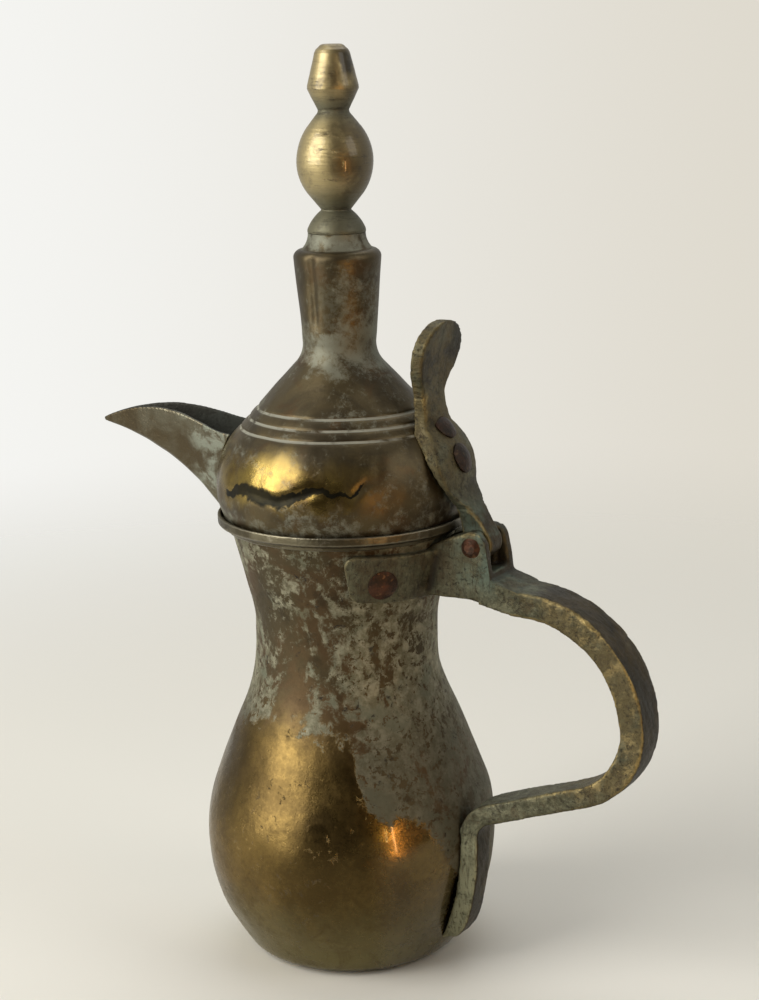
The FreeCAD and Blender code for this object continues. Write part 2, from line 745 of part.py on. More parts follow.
def draw_slot(sketch):
    # the room between the cheeks: open above and towards the neck, round at the handle's end
    slot_low = hinge[1] - dim.knuckle_radius - dim.arm_thick
    far = hinge[0] + 2 * dim.knuckle_radius - dim.knuckle_gap
    round_arc = dim.knuckle_radius - dim.knuckle_gap
    top = hinge[1] + 2 * dim.cheek_radius
    near = dim.waist_radius
    pen = Outline(sketch, near, slot_low)
    pen.line(far - round_arc, slot_low)
    pen.arc((far - round_arc, slot_low + round_arc), far, slot_low + round_arc, 1, True)
    pen.line(far, top, True)
    pen.line(near, top)
    pen.close()
    pen.level(0)
    pen.pin(0, 2, None, "hinge_height - knuckle_radius - arm_thick")
    pen.radius(1, "knuckle_radius - knuckle_gap")


def side_body(label, draw, width):
    # a body drawn from the side and as wide as asked, equally to both sides
    body = new_body(label)
    sketch = new_sketch(body, "XZ_Plane", label + "_view")
    draw(sketch)
    pad(body, sketch, label + "_pad", width)
    return body


def front_body(label, draw):
    # a body drawn from the front and long enough for any piece
    body = new_body(label)
    sketch = new_sketch(body, "YZ_Plane", label + "_view")
    draw(sketch)
    pad(body, sketch, label + "_pad", "4 * grip_reach")
    return body


def turned_body(label, draw):
    body = new_body(label)
    sketch = new_sketch(body, "XZ_Plane", label + "_section")
    draw(sketch)
    revolve(body, sketch, label + "_turned")
    return body


def hinge_rod(label, radius, length):
    # a rod along the hinge axis
    rod = doc.addObject("Part::Cylinder", label)
    rod.setExpression("Radius", cell(radius))
    rod.setExpression("Height", cell(length))
    rod.Placement = Placement(Vector(hinge[0], rod.Height.Value / 2, hinge[1]), Rotation(Vector(1, 0, 0), 90))
    rod.setExpression("Placement.Base.x", cell("hinge_reach"))
    rod.setExpression("Placement.Base.y", cell("(%s) / 2" % length))
    rod.setExpression("Placement.Base.z", cell("hinge_height"))
    return rod


def make_handle_casting():
    # grip, cheeks and arms in one piece, hollowed to lie on the neck and belly
    grip_side = side_body("grip_side", draw_grip, "4 * grip_width")
    grip = common("grip", grip_side, front_body("grip_front", draw_grip_front))
    cheeks = side_body("cheeks", draw_cheek, "cheek_span")
    arm_ring = turned_body("arm_ring", draw_arm_ring)
    arms = common("arms", arm_ring, side_body("arm_side", draw_arm_side, "4 * mouth_radius"))
    blank = doc.addObject("Part::MultiFuse", "handle_blank")
    blank.Shapes = [grip, cheeks, arms]
    vessel = turned_body("vessel_in_handle", lambda sketch: draw_vessel(sketch, False))
    slot = side_body("hinge_slot", draw_slot, "knuckle_width + 2 * knuckle_gap")
    seated = cut("handle_seated", blank, vessel)
    slotted = cut("handle_slotted", seated, slot)
    return cut("handle_bored", slotted, hinge_rod("cheek_bore", "pin_radius", "2 * cheek_span"))


def rivet_head(label, placement, sink):
    # a low round head on its own Z, whose underside is sunk a little into what it holds
    body = new_body(label)
    sketch = new_sketch(body, "XZ_Plane", label + "_section")
    head, height, depth = dim.rivet_head_radius, dim.rivet_head_height, getattr(dim, sink)
    swell = height - dim.rivet_rim
    arc = (head ** 2 + swell ** 2) / (2 * swell)
    pen = Outline(sketch, 0, -depth)
    pen.line(head, -depth)
    pen.line(head, dim.rivet_rim)
    pen.arc((0, height - arc), 0, height, 1)
    pen.close()
    pen.pin(0, 1, "0", "-" + sink)
    pen.pin(1, 1, "rivet_head_radius", "-" + sink)
    pen.pin(1, 2, "rivet_head_radius", "rivet_rim")
    pen.pin(2, 2, "0", "rivet_head_height")
    pen.pin(2, 3, "0", None)
    revolve(body, sketch, label + "_turned")
    body.Placement = placement
    return body


def rivet_shank(label, placement, grip, spare):
    # a plain rod along the rivet, longer by the spare at both ends
    rod = doc.addObject("Part::Cylinder", label)
    rod.setExpression("Radius", cell("rivet_radius"))
    rod.Height = grip + 2 * spare
    rod.Placement = placement.multiply(Placement(Vector(0, 0, -grip - spare), Rotation()))
    return rod


def make_rivet(label, place, outside, inside):
    # two heads that follow the pieces they hold, and the shank between them
    placement, grip = place
    back = placement.multiply(Placement(Vector(0, 0, -grip), Rotation(Vector(1, 0, 0), 180)))
    outer = cut(label + "_outer", rivet_head(label + "_head", placement, "rivet_sink"), outside)
    inner = cut(label + "_inner", rivet_head(label + "_back", back, "rivet_back_sink"), inside)
    rivet = doc.addObject("Part::MultiFuse", label)
    rivet.Shapes = [outer, rivet_shank(label + "_shank", placement, grip, dim.rivet_head_height / 2), inner]
    return rivet


def mirrored(source, label):
    copy = doc.addObject("Part::Mirroring", label)
    copy.Source = source
    copy.Base = Vector(0, 0, 0)
    copy.Normal = Vector(0, 1, 0)
    return copy


def compound(label, links):
    group = doc.addObject("Part::Compound", label)
    group.Links = links
    return group


def common(label, base, tool):
    result = doc.addObject("Part::Common", label)
    result.Base = base
    result.Tool = tool
    return result


def cut(label, base, tool):
    result = doc.addObject("Part::Cut", label)
    result.Base = base
    result.Tool = tool
    result.Label = label
    return result


def arm_rivet_place():
    # on the outside of an arm, square to the leaning neck
    lean = math.degrees(math.atan(neck_slope))
    reach = neck_radius(dim.arm_rivet_height) + dim.arm_thick
    turn = Rotation(Vector(0, 0, 1), -dim.arm_rivet_angle)
    outwards = turn.multiply(Rotation(Vector(0, 1, 0), 90 + lean))
    spot = turn.multVec(Vector(reach, 0, dim.arm_rivet_height))
    return Placement(spot, outwards), (dim.arm_thick + dim.wall) * math.cos(math.radians(lean))


def strap_rivet_place(height):
    # on the outside of the strap, square to the dome
    angle = dome_angle_at(height)
    spot = polar(dome_centre, dim.dome_arc + dim.strap_thick, angle)
    outwards = Rotation(Vector(0, 1, 0), 90 - math.degrees(angle))
    return Placement(Vector(spot[0], 0, spot[1]), outwards), dim.strap_thick + dim.wall


def dome_angle_at(height):
    return math.asin((height - dome_middle) / (dim.dome_arc + dim.strap_thick))


def make_hinge_pin():
    # turned along its own Z and laid along Y: a shank with a peened head at each end
    body = new_body("hinge_pin")
    sketch = new_sketch(body, "XZ_Plane", "pin_section")
    half = dim.cheek_span / 2
    radius, head, height = dim.pin_radius, dim.pin_head_radius, dim.pin_head_height
    pen = Outline(sketch, 0, -half - height)
    pen.line(head / 2, -half - height)
    pen.line(head, -half)
    pen.line(radius, -half)
    pen.line(radius, half)
    pen.line(head, half)
    pen.line(head / 2, half + height)
    pen.line(0, half + height)
    pen.close()
    pen.pin(3, 2, "pin_radius", "cheek_span / 2")
    pen.pin(4, 2, "pin_head_radius", "cheek_span / 2")
    pen.pin(5, 2, "pin_head_radius / 2", "cheek_span / 2 + pin_head_height")
    revolve(body, sketch, "pin_turned")
    body.Placement = Placement(Vector(hinge[0], 0, hinge[1]), Rotation(Vector(1, 0, 0), 90))
    body.setExpression("Placement.Base.x", cell("hinge_reach"))
    body.setExpression("Placement.Base.z", cell("hinge_height"))
    return body


def make_lid_dome():
    body = new_body("dome_shell")
    sketch = new_sketch(body, "XZ_Plane", "dome_section")
    wall = dim.wall
    edge_angle = math.asin((lid_edge - dome_middle) / dim.dome_arc)
    inner_edge = math.asin((lid_edge - dome_middle) / (dim.dome_arc - wall))
    pen = Outline(sketch, *polar(dome_centre, dim.dome_arc, edge_angle))
    t1, t2 = cross_tangent(dome_centre, dim.dome_arc, throat_centre, dim.throat_arc)
    pen.arc(dome_centre, *t1, 1)
    pen.line(*t2, True)
    pen.arc(throat_centre, dim.chimney_foot_radius, dim.chimney_foot_height, -1, True)
    pen.line(dim.chimney_foot_radius - wall, dim.chimney_foot_height)
    t1, t2 = cross_tangent(dome_centre, dim.dome_arc - wall, throat_centre, dim.throat_arc + wall)
    pen.arc(throat_centre, *t2, 1)
    pen.line(*t1, True)
    pen.arc(dome_centre, *polar(dome_centre, dim.dome_arc - wall, inner_edge), -1, True)
    pen.close()
    pen.pin(0, 1, None, "mouth_height + lid_seat_gap")
    pen.pin(0, 3, "dome_radius - dome_arc", "mouth_height + dome_rise")
    pen.radius(0, "dome_arc")
    pen.pin(2, 2, "chimney_foot_radius", "chimney_foot_height")
    pen.pin(2, 3, "chimney_foot_radius + throat_arc", "chimney_foot_height")
    pen.pin(3, 2, "chimney_foot_radius - wall", "chimney_foot_height")
    pen.concentric(4, 2)
    pen.concentric(6, 0)
    pen.radius(6, "dome_arc - wall")
    pen.level(7)
    revolve(body, sketch, "dome_turned")
    doc.recompute()
    rings = new_sketch(body, "XZ_Plane", "ring_section")
    draw_rings(rings)
    revolve(body, rings, "ring_grooves", "PartDesign::Groove")
    return body


def draw_rings(sketch):
    # three engraved rings: small V cuts along the dome's straight slope
    t1, t2 = cross_tangent(dome_centre, dim.dome_arc, throat_centre, dim.throat_arc)
    length = math.hypot(t2[0] - t1[0], t2[1] - t1[1])
    along = ((t2[0] - t1[0]) / length, (t2[1] - t1[1]) / length)
    out = (along[1], -along[0])
    depth = dim.ring_depth
    for number in range(3):
        way = dim.ring_start + number * dim.ring_pitch
        middle = (t1[0] + way * along[0], t1[1] + way * along[1])
        pen = Outline(sketch, middle[0] - depth * out[0], middle[1] - depth * out[1])
        for side in (-2, 2):
            x = middle[0] + depth * (out[0] + side * along[0])
            y = middle[1] + depth * (out[1] + side * along[1])
            pen.line(x, y)
        pen.close()


def make_lid_bezel():
    # an angle ring: a skirt that drops into the mouth and a flange that meets the dome's inside
    body = new_body("lid_bezel")
    sketch = new_sketch(body, "XZ_Plane", "bezel_section")
    outer = neck_radius(dim.mouth_height - dim.bezel_depth) - dim.wall - dim.bezel_clearance
    inner = outer - dim.bezel_thick
    top = lid_edge + dim.bezel_thick
    inside = dim.dome_arc - dim.wall
    edge_low = polar(dome_centre, inside, math.asin((lid_edge - dome_middle) / inside))
    edge_high = polar(dome_centre, inside, math.asin((top - dome_middle) / inside))
    pen = Outline(sketch, inner, dim.mouth_height - dim.bezel_depth)
    pen.line(outer, dim.mouth_height - dim.bezel_depth)
    pen.line(outer, lid_edge)
    pen.line(*edge_low)
    pen.arc(dome_centre, *edge_high, 1)
    pen.line(inner, top)
    pen.close()
    pen.level(0)
    pen.upright(1)
    pen.level(2)
    pen.level(4)
    pen.upright(5)
    pen.pin(0, 1, None, "mouth_height - bezel_depth")
    pen.pin(2, 1, None, "mouth_height + lid_seat_gap")
    pen.pin(3, 3, "dome_radius - dome_arc", "mouth_height + dome_rise")
    pen.radius(3, "dome_arc - wall")
    pen.pin(4, 1, None, "mouth_height + lid_seat_gap + bezel_thick")
    revolve(body, sketch, "bezel_turned")
    return body


def make_lid_chimney():
    body = new_body("lid_chimney")
    sketch = new_sketch(body, "XZ_Plane", "chimney_section")
    wall = dim.wall
    foot = (dim.chimney_foot_radius, dim.chimney_foot_height)
    inner_foot = (dim.chimney_foot_radius - wall, dim.chimney_foot_height)
    centre = (dim.chimney_top_radius - dim.shoulder_arc, chimney_top - dim.shoulder_arc)
    pen = Outline(sketch, *foot)
    pen.line(*tangent_from(foot, centre, dim.shoulder_arc, 1))
    pen.arc(centre, centre[0], chimney_top, 1, True)
    pen.line(centre[0], chimney_top - wall)
    pen.arc(centre, *tangent_from(inner_foot, centre, dim.shoulder_arc - wall, 1), -1)
    pen.line(*inner_foot, True)
    pen.close()
    pen.pin(0, 1, "chimney_foot_radius", "chimney_foot_height")
    pen.pin(1, 3, "chimney_top_radius - shoulder_arc", "chimney_foot_height + chimney_height - shoulder_arc")
    pen.pin(1, 2, "chimney_top_radius - shoulder_arc", "chimney_foot_height + chimney_height")
    pen.upright(2)
    pen.concentric(3, 1)
    pen.radius(3, "shoulder_arc - wall")
    pen.pin(4, 2, "chimney_foot_radius - wall", "chimney_foot_height")
    revolve(body, sketch, "chimney_turned")
    return body


def make_chimney_cap():
    body = new_body("chimney_cap")
    sketch = new_sketch(body, "XZ_Plane", "cap_section")
    edge = dim.chimney_top_radius - dim.shoulder_arc
    pen = Outline(sketch, dim.tang_radius, chimney_top - dim.wall)
    pen.line(edge, chimney_top - dim.wall)
    pen.line(edge, chimney_top)
    pen.line(dim.tang_radius, chimney_top)
    pen.close()
    pen.pin(0, 1, "tang_radius", "chimney_foot_height + chimney_height - wall")
    pen.pin(0, 2, "chimney_top_radius - shoulder_arc", "chimney_foot_height + chimney_height - wall")
    pen.pin(2, 1, "chimney_top_radius - shoulder_arc", "chimney_foot_height + chimney_height")
    pen.pin(2, 2, "tang_radius", "chimney_foot_height + chimney_height")
    revolve(body, sketch, "cap_turned")
    return body


def make_finial_collar():
    # a hollow-sided ferrule between the chimney and the finial
    body = new_body("finial_collar")
    sketch = new_sketch(body, "XZ_Plane", "collar_section")
    edge = dim.chimney_top_radius - dim.shoulder_arc
    step = edge - dim.collar_top_radius
    arc = (step ** 2 + dim.collar_height ** 2) / (2 * step)
    pen = Outline(sketch, dim.tang_radius, chimney_top)
    pen.line(edge, chimney_top)
    pen.arc((dim.collar_top_radius + arc, collar_top), dim.collar_top_radius, collar_top, -1)
    pen.line(dim.tang_radius, collar_top)
    pen.close()
    pen.pin(0, 1, "tang_radius", "chimney_foot_height + chimney_height")
    pen.pin(0, 2, "chimney_top_radius - shoulder_arc", "chimney_foot_height + chimney_height")
    pen.pin(1, 2, "collar_top_radius", "chimney_foot_height + chimney_height + collar_height")
    pen.pin(1, 3, None, "chimney_foot_height + chimney_height + collar_height")
    pen.pin(2, 2, "tang_radius", "chimney_foot_height + chimney_height + collar_height")
    revolve(body, sketch, "collar_turned")
    return body


def make_finial():
    # turned from one bar: peened tang, flared foot, ball and knob
    body = new_body("finial")
    sketch = new_sketch(body, "XZ_Plane", "finial_section")
    washer_low = chimney_top - dim.wall - dim.washer_thick
    tang_end = washer_low - dim.tang_head_height
    foot_top = collar_top + dim.finial_foot_height
    waist = (dim.finial_waist_radius, collar_top + dim.finial_waist_height)
    bell = arc_centre((dim.finial_foot_radius, foot_top), waist, dim.finial_bell_arc)
    ball_top = waist[1] + dim.ball_height
    ball_centre = (dim.ball_radius - dim.ball_arc, waist[1] + dim.ball_height / 2)
    ball_low = tangent_from(waist, ball_centre, dim.ball_arc, 1)
    ball_high = tangent_from((waist[0], ball_top), ball_centre, dim.ball_arc, -1)
    knob = ball_top + dim.knob_flare
    shoulder = knob + dim.knob_taper
    top = shoulder + dim.knob_cap
    pen = Outline(sketch, 0, tang_end)
    pen.line(dim.tang_head_radius, tang_end)
    pen.line(dim.tang_head_radius, washer_low)
    pen.line(dim.tang_radius, washer_low)
    pen.line(dim.tang_radius, collar_top)
    pen.line(dim.finial_foot_radius, collar_top)
    pen.line(dim.finial_foot_radius, foot_top)
    pen.arc(bell, *waist, 1)
    pen.line(*ball_low)
    pen.arc(ball_centre, *ball_high, 1, True)
    pen.line(waist[0], ball_top, True)
    pen.line(dim.knob_radius, knob)
    pen.line(dim.knob_shoulder_radius, shoulder)
    pen.line(dim.knob_top_radius, top)
    pen.line(0, top)
    pen.close()
    collar_text = "chimney_foot_height + chimney_height + collar_height"
    waist_text = collar_text + " + finial_waist_height"
    ball_text = waist_text + " + ball_height"
    washer_text = "chimney_foot_height + chimney_height - wall - washer_thick"
    pen.pin(0, 2, "tang_head_radius", washer_text + " - tang_head_height")
    pen.level(0)
    pen.pin(2, 1, "tang_head_radius", washer_text)
    pen.pin(2, 2, "tang_radius", washer_text)
    pen.pin(3, 2, "tang_radius", collar_text)
    pen.pin(4, 2, "finial_foot_radius", collar_text)
    pen.pin(5, 2, "finial_foot_radius", collar_text + " + finial_foot_height")
    pen.pin(6, 2, "finial_waist_radius", waist_text)
    pen.radius(6, "finial_bell_arc")
    pen.radius(8, "ball_arc")
    pen.pin(9, 2, "finial_waist_radius", ball_text)
    pen.pin(10, 2, "knob_radius", ball_text + " + knob_flare")
    pen.pin(11, 2, "knob_shoulder_radius", ball_text + " + knob_flare + knob_taper")
    pen.pin(12, 2, "knob_top_radius", ball_text + " + knob_flare + knob_taper + knob_cap")
    pen.level(13)
    pen.upright(14)
    revolve(body, sketch, "finial_turned")
    return body


def make_finial_washer():
    body = new_body("finial_washer")
    sketch = new_sketch(body, "XZ_Plane", "washer_section")
    top = chimney_top - dim.wall
    low = top - dim.washer_thick
    pen = Outline(sketch, dim.tang_radius, low)
    pen.line(dim.washer_radius, low)
    pen.line(dim.washer_radius, top)
    pen.line(dim.tang_radius, top)
    pen.close()
    top_text = "chimney_foot_height + chimney_height - wall"
    pen.pin(0, 1, "tang_radius", top_text + " - washer_thick")
    pen.pin(0, 2, "washer_radius", top_text + " - washer_thick")
    pen.pin(2, 1, "washer_radius", top_text)
    pen.pin(2, 2, "tang_radius", top_text)
    revolve(body, sketch, "washer_turned")
    return body


def draw_strap_side(sketch):
    # the strap's side view: a knuckle round the pin, a bar up to the dome, along the dome, then up to the thumb
    thick = dim.strap_thick
    outer = dim.dome_arc + thick
    sunk = dim.dome_arc - dim.strap_sink
    sweep = (dim.strap_sweep_reach + dim.strap_sweep_arc, dim.strap_sweep_height)
    sweep_back = dim.strap_sweep_arc + thick
    top_out = sweep_point(sweep, dim.strap_sweep_arc, dim.thumb_top)
    top_in = sweep_point(sweep, sweep_back, dim.thumb_top)
    outer_meet = circles_meet(dome_centre, outer, sweep, dim.strap_sweep_arc)
    inner_meet = circles_meet(dome_centre, sunk, sweep, sweep_back)
    bar_out = polar(dome_centre, outer, math.radians(4))
    bar_in = polar(dome_centre, sunk, math.radians(-2))
    knuckle_out = tangent_from(bar_out, hinge, dim.knuckle_radius, -1)
    knuckle_in = tangent_from(bar_in, hinge, dim.knuckle_radius, 1)
    pen = Outline(sketch, *knuckle_in)
    pen.arc(hinge, *knuckle_out, 1)
    pen.line(*bar_out, True)
    pen.arc(dome_centre, *outer_meet, 1)
    pen.arc(sweep, *top_out, -1)
    pen.line(*top_in)
    pen.arc(sweep, *inner_meet, 1)
    pen.arc(dome_centre, *bar_in, -1)
    pen.close(True)
    pen.pin(0, 3, "hinge_reach", "hinge_height")
    pen.radius(0, "knuckle_radius")
    pen.pin(2, 3, "dome_radius - dome_arc", "mouth_height + dome_rise")
    pen.radius(2, "dome_arc + strap_thick")
    pen.pin(3, 3, "strap_sweep_reach + strap_sweep_arc", "strap_sweep_height")
    pen.radius(3, "strap_sweep_arc")
    pen.pin(4, 1, None, "thumb_top")
    pen.level(4)
    pen.concentric(5, 3)
    pen.radius(5, "strap_sweep_arc + strap_thick")


def sweep_point(centre, radius, height):
    # the point on the left of a circle at a height
    return centre[0] - math.sqrt(radius ** 2 - (height - centre[1]) ** 2), height


def circles_meet(c1, r1, c2, r2):
    # the lower of the two points where two circles cross
    dx, dy = c2[0] - c1[0], c2[1] - c1[1]
    gap = math.hypot(dx, dy)
    along = (r1 ** 2 - r2 ** 2 + gap ** 2) / (2 * gap)
    aside = math.sqrt(r1 ** 2 - along ** 2)
    spots = []
    for side in (-1, 1):
        x = c1[0] + along * dx / gap - side * aside * dy / gap
        y = c1[1] + along * dy / gap + side * aside * dx / gap
        spots.append((y, x))
    y, x = max(spots)
    return x, y


def draw_strap_front(sketch):
    # the strap's outline seen along X: the round thumb rest, the waist, the plate and the bar
    half = dim.strap_plate_width / 2
    thumb = dim.thumb_width / 2
    waist = dim.strap_waist_width / 2
    step = dim.strap_step_width / 2
    bar = dim.knuckle_width / 2
    centre = (0, dim.thumb_top - thumb)
    waist_touch = tangent_from((waist, dim.strap_waist_height), centre, thumb, 1)
    shoulder = (dim.strap_plate_height + dim.strap_waist_height) / 2
    swell = 0.8 * half + 0.2 * waist
    low = hinge[1] - 2 * dim.knuckle_radius
    pen = Outline(sketch, -bar, low)
    pen.line(bar, low)
    pen.line(bar, dim.strap_step_height - bar / 2)
    pen.line(step, dim.strap_step_height)
    pen.line(half, dim.strap_plate_height)
    pen.line(swell, shoulder)
    pen.line(waist, dim.strap_waist_height)
    pen.line(*waist_touch)
    pen.arc(centre, -waist_touch[0], waist_touch[1], 1, True)
    pen.line(-waist, dim.strap_waist_height, True)
    pen.line(-swell, shoulder)
    pen.line(-half, dim.strap_plate_height)
    pen.line(-step, dim.strap_step_height)
    pen.line(-bar, dim.strap_step_height - bar / 2)
    pen.close()
    pen.pin(1, 1, "knuckle_width / 2", None)
    pen.pin(2, 2, "strap_step_width / 2", "strap_step_height")
    pen.pin(3, 2, "strap_plate_width / 2", "strap_plate_height")
    pen.pin(5, 2, "strap_waist_width / 2", "strap_waist_height")
    pen.pin(7, 3, "0", "thumb_top - thumb_width / 2")
    pen.radius(7, "thumb_width / 2")


def make_strap_casting():
    # the strap is what its side view and its front view have in common, hollowed to sit on the dome
    side = side_body("strap_side", draw_strap_side, "2 * strap_plate_width")
    blank = common("strap_blank", side, front_body("strap_front", draw_strap_front))
    seated = cut("strap_seated", blank, turned_body("dome_in_strap", draw_dome_room))
    return cut("strap_bored", seated, hinge_rod("knuckle_bore", "pin_radius + pin_clearance", "2 * cheek_span"))


def draw_dome_room(sketch):
    # the dome's outside as one region from the axis out
    t1, t2 = cross_tangent(dome_centre, dim.dome_arc, throat_centre, dim.throat_arc)
    start = polar(dome_centre, dim.dome_arc, math.asin((lid_edge - dome_middle) / dim.dome_arc))
    pen = Outline(sketch, 0, lid_edge)
    pen.line(*start)
    pen.arc(dome_centre, *t1, 1)
    pen.line(*t2, True)
    pen.arc(throat_centre, dim.chimney_foot_radius, dim.chimney_foot_height, -1, True)
    pen.line(0, dim.chimney_foot_height)
    pen.close()


# Vessel
base_disc = make_base_disc()
belly = make_belly()
neck_shell = make_neck()
rim_band = make_rim_band()
spout = make_spout()
handle_casting = make_handle_casting()
arm_place = arm_rivet_place()
arm_hole = rivet_shank("arm_hole", *arm_place, dim.arm_thick)
arm_holes = compound("arm_holes", [arm_hole, mirrored(arm_hole, "arm_hole_far")])
neck = cut("neck", neck_shell, arm_holes)
handle = cut("handle", handle_casting, arm_holes)
arm_rivet = make_rivet("arm_rivet", arm_place, handle_casting, neck_shell)
arm_rivets = compound("arm_rivets", [arm_rivet, mirrored(arm_rivet, "arm_rivet_far")])
hinge_pin = make_hinge_pin()

# Lid
dome_shell = make_lid_dome()
lid_bezel = make_lid_bezel()
lid_chimney = make_lid_chimney()
chimney_cap = make_chimney_cap()
finial_collar = make_finial_collar()
finial = make_finial()
finial_washer = make_finial_washer()
strap_bored = make_strap_casting()
strap_places = [strap_rivet_place(height) for height in (dim.strap_rivet_low, dim.strap_rivet_high)]
strap_hole_low = rivet_shank("strap_hole_low", *strap_places[0], dim.strap_thick)
strap_hole_high = rivet_shank("strap_hole_high", *strap_places[1], dim.strap_thick)
strap_holes = compound("strap_holes", [strap_hole_low, strap_hole_high])
lid_dome = cut("lid_dome", dome_shell, strap_holes)
lid_strap = cut("lid_strap", strap_bored, strap_holes)
strap_rivet_low = make_rivet("strap_rivet_low", strap_places[0], strap_bored, dome_shell)
strap_rivet_high = make_rivet("strap_rivet_high", strap_places[1], strap_bored, dome_shell)
strap_rivets = compound("strap_rivets", [strap_rivet_low, strap_rivet_high])
doc.recompute()

sub_parts = (
    base_disc, belly, neck, rim_band, spout, handle, arm_rivets, hinge_pin,
    lid_dome, lid_bezel, lid_chimney, chimney_cap, finial_collar, finial, finial_washer, lid_strap, strap_rivets,
)

for item in doc.Objects:
    if "Invalid" in item.State or "Error" in item.State:
        raise RuntimeError("%s failed: %s" % (item.Label, item.State))
for item in sub_parts:
    if item.Shape.isNull() or not item.Shape.isValid():
        raise RuntimeError("%s has no good shape" % item.Label)
    print("%-16s %d solid(s) %9.1f mm3" % (item.Label, len(item.Shape.Solids), item.Shape.Volume))

os.makedirs("parts", exist_ok=True)
for item in sub_parts:
    item.Shape.exportStep("parts/%s.step" % item.Label)
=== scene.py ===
import math
import bmesh
import bpy
import numpy as np
from mathutils import Matrix, Vector


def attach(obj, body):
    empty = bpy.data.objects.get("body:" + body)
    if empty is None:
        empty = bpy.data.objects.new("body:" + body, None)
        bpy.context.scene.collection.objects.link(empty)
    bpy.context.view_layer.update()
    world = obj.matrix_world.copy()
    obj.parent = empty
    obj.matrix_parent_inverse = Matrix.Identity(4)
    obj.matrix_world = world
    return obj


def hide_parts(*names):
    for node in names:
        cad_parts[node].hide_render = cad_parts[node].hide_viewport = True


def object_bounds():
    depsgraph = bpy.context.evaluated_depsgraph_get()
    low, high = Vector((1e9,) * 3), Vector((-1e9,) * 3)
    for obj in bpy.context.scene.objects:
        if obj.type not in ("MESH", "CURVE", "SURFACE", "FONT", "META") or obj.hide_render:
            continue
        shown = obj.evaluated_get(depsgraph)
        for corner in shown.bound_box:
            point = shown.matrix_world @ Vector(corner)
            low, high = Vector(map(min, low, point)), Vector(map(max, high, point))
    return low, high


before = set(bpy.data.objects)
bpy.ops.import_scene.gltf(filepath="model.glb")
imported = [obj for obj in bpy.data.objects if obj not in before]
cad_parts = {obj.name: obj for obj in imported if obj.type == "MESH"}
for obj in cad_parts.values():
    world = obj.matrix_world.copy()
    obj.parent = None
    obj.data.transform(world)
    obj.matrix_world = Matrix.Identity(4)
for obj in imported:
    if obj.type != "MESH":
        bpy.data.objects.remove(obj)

cadBox = [list(corner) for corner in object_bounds()]
mm = 0.001
coll = bpy.context.scene.collection

# Where the photographer stood: metres and degrees, round the pot's own axis. Focal is in picture heights.
shot = {
    "distance": 0.69, "height": 0.315, "around": 29.0, "pitch": 13.22, "yaw": 0.98, "roll": 1.26,
    "focal": 2.15, "sensor": 24.0, "nearest": 0.01,
}


def direction(around, height=0.0):
    # unit vector: angle seen from above, from the camera's side of the pot, positive to the picture's right
    a = math.radians(shot["around"] + around)
    h = math.radians(height)
    return Vector((math.sin(a) * math.cos(h), -math.cos(a) * math.cos(h), math.sin(h)))


def placeCamera():
    # forward, right and up from the three turns, then the matrix with those as its columns
    yaw, pitch, roll = (math.radians(shot[k]) for k in ("yaw", "pitch", "roll"))
    away = -direction(0)
    right = Vector((away.y, -away.x, 0))
    flat = right * math.sin(yaw) + away * math.cos(yaw)
    side = right * math.cos(yaw) - away * math.sin(yaw)
    up = Vector((0, 0, 1))
    ahead = flat * math.cos(pitch) - up * math.sin(pitch)
    over = flat * math.sin(pitch) + up * math.cos(pitch)
    axisX = side * math.cos(roll) - over * math.sin(roll)
    axisY = side * math.sin(roll) + over * math.cos(roll)
    data = bpy.data.cameras.new("photoCamera")
    data.sensor_fit = "VERTICAL"
    data.sensor_height = shot["sensor"]
    data.lens = shot["focal"] * shot["sensor"]
    data.clip_start = shot["nearest"]
    cam = bpy.data.objects.new("photoCamera", data)
    coll.objects.link(cam)
    spot = direction(0) * shot["distance"] + up * shot["height"]
    cam.matrix_world = Matrix.Translation(spot) @ Matrix((axisX, axisY, -ahead)).transposed().to_4x4()
    bpy.context.scene.camera = cam


def feed(socket, value):
    # a link from a Wire, or else a plain value
    if isinstance(value, Wire):
        socket.id_data.links.new(value.socket, socket)
    else:
        socket.default_value = value


def reckon(operation, reflected=False):
    # an operator that adds one Math node
    def operator(self, other):
        first, second = (other, self) if reflected else (self, other)
        return self.node("ShaderNodeMath", {"operation": operation}, {0: first, 1: second})
    return operator


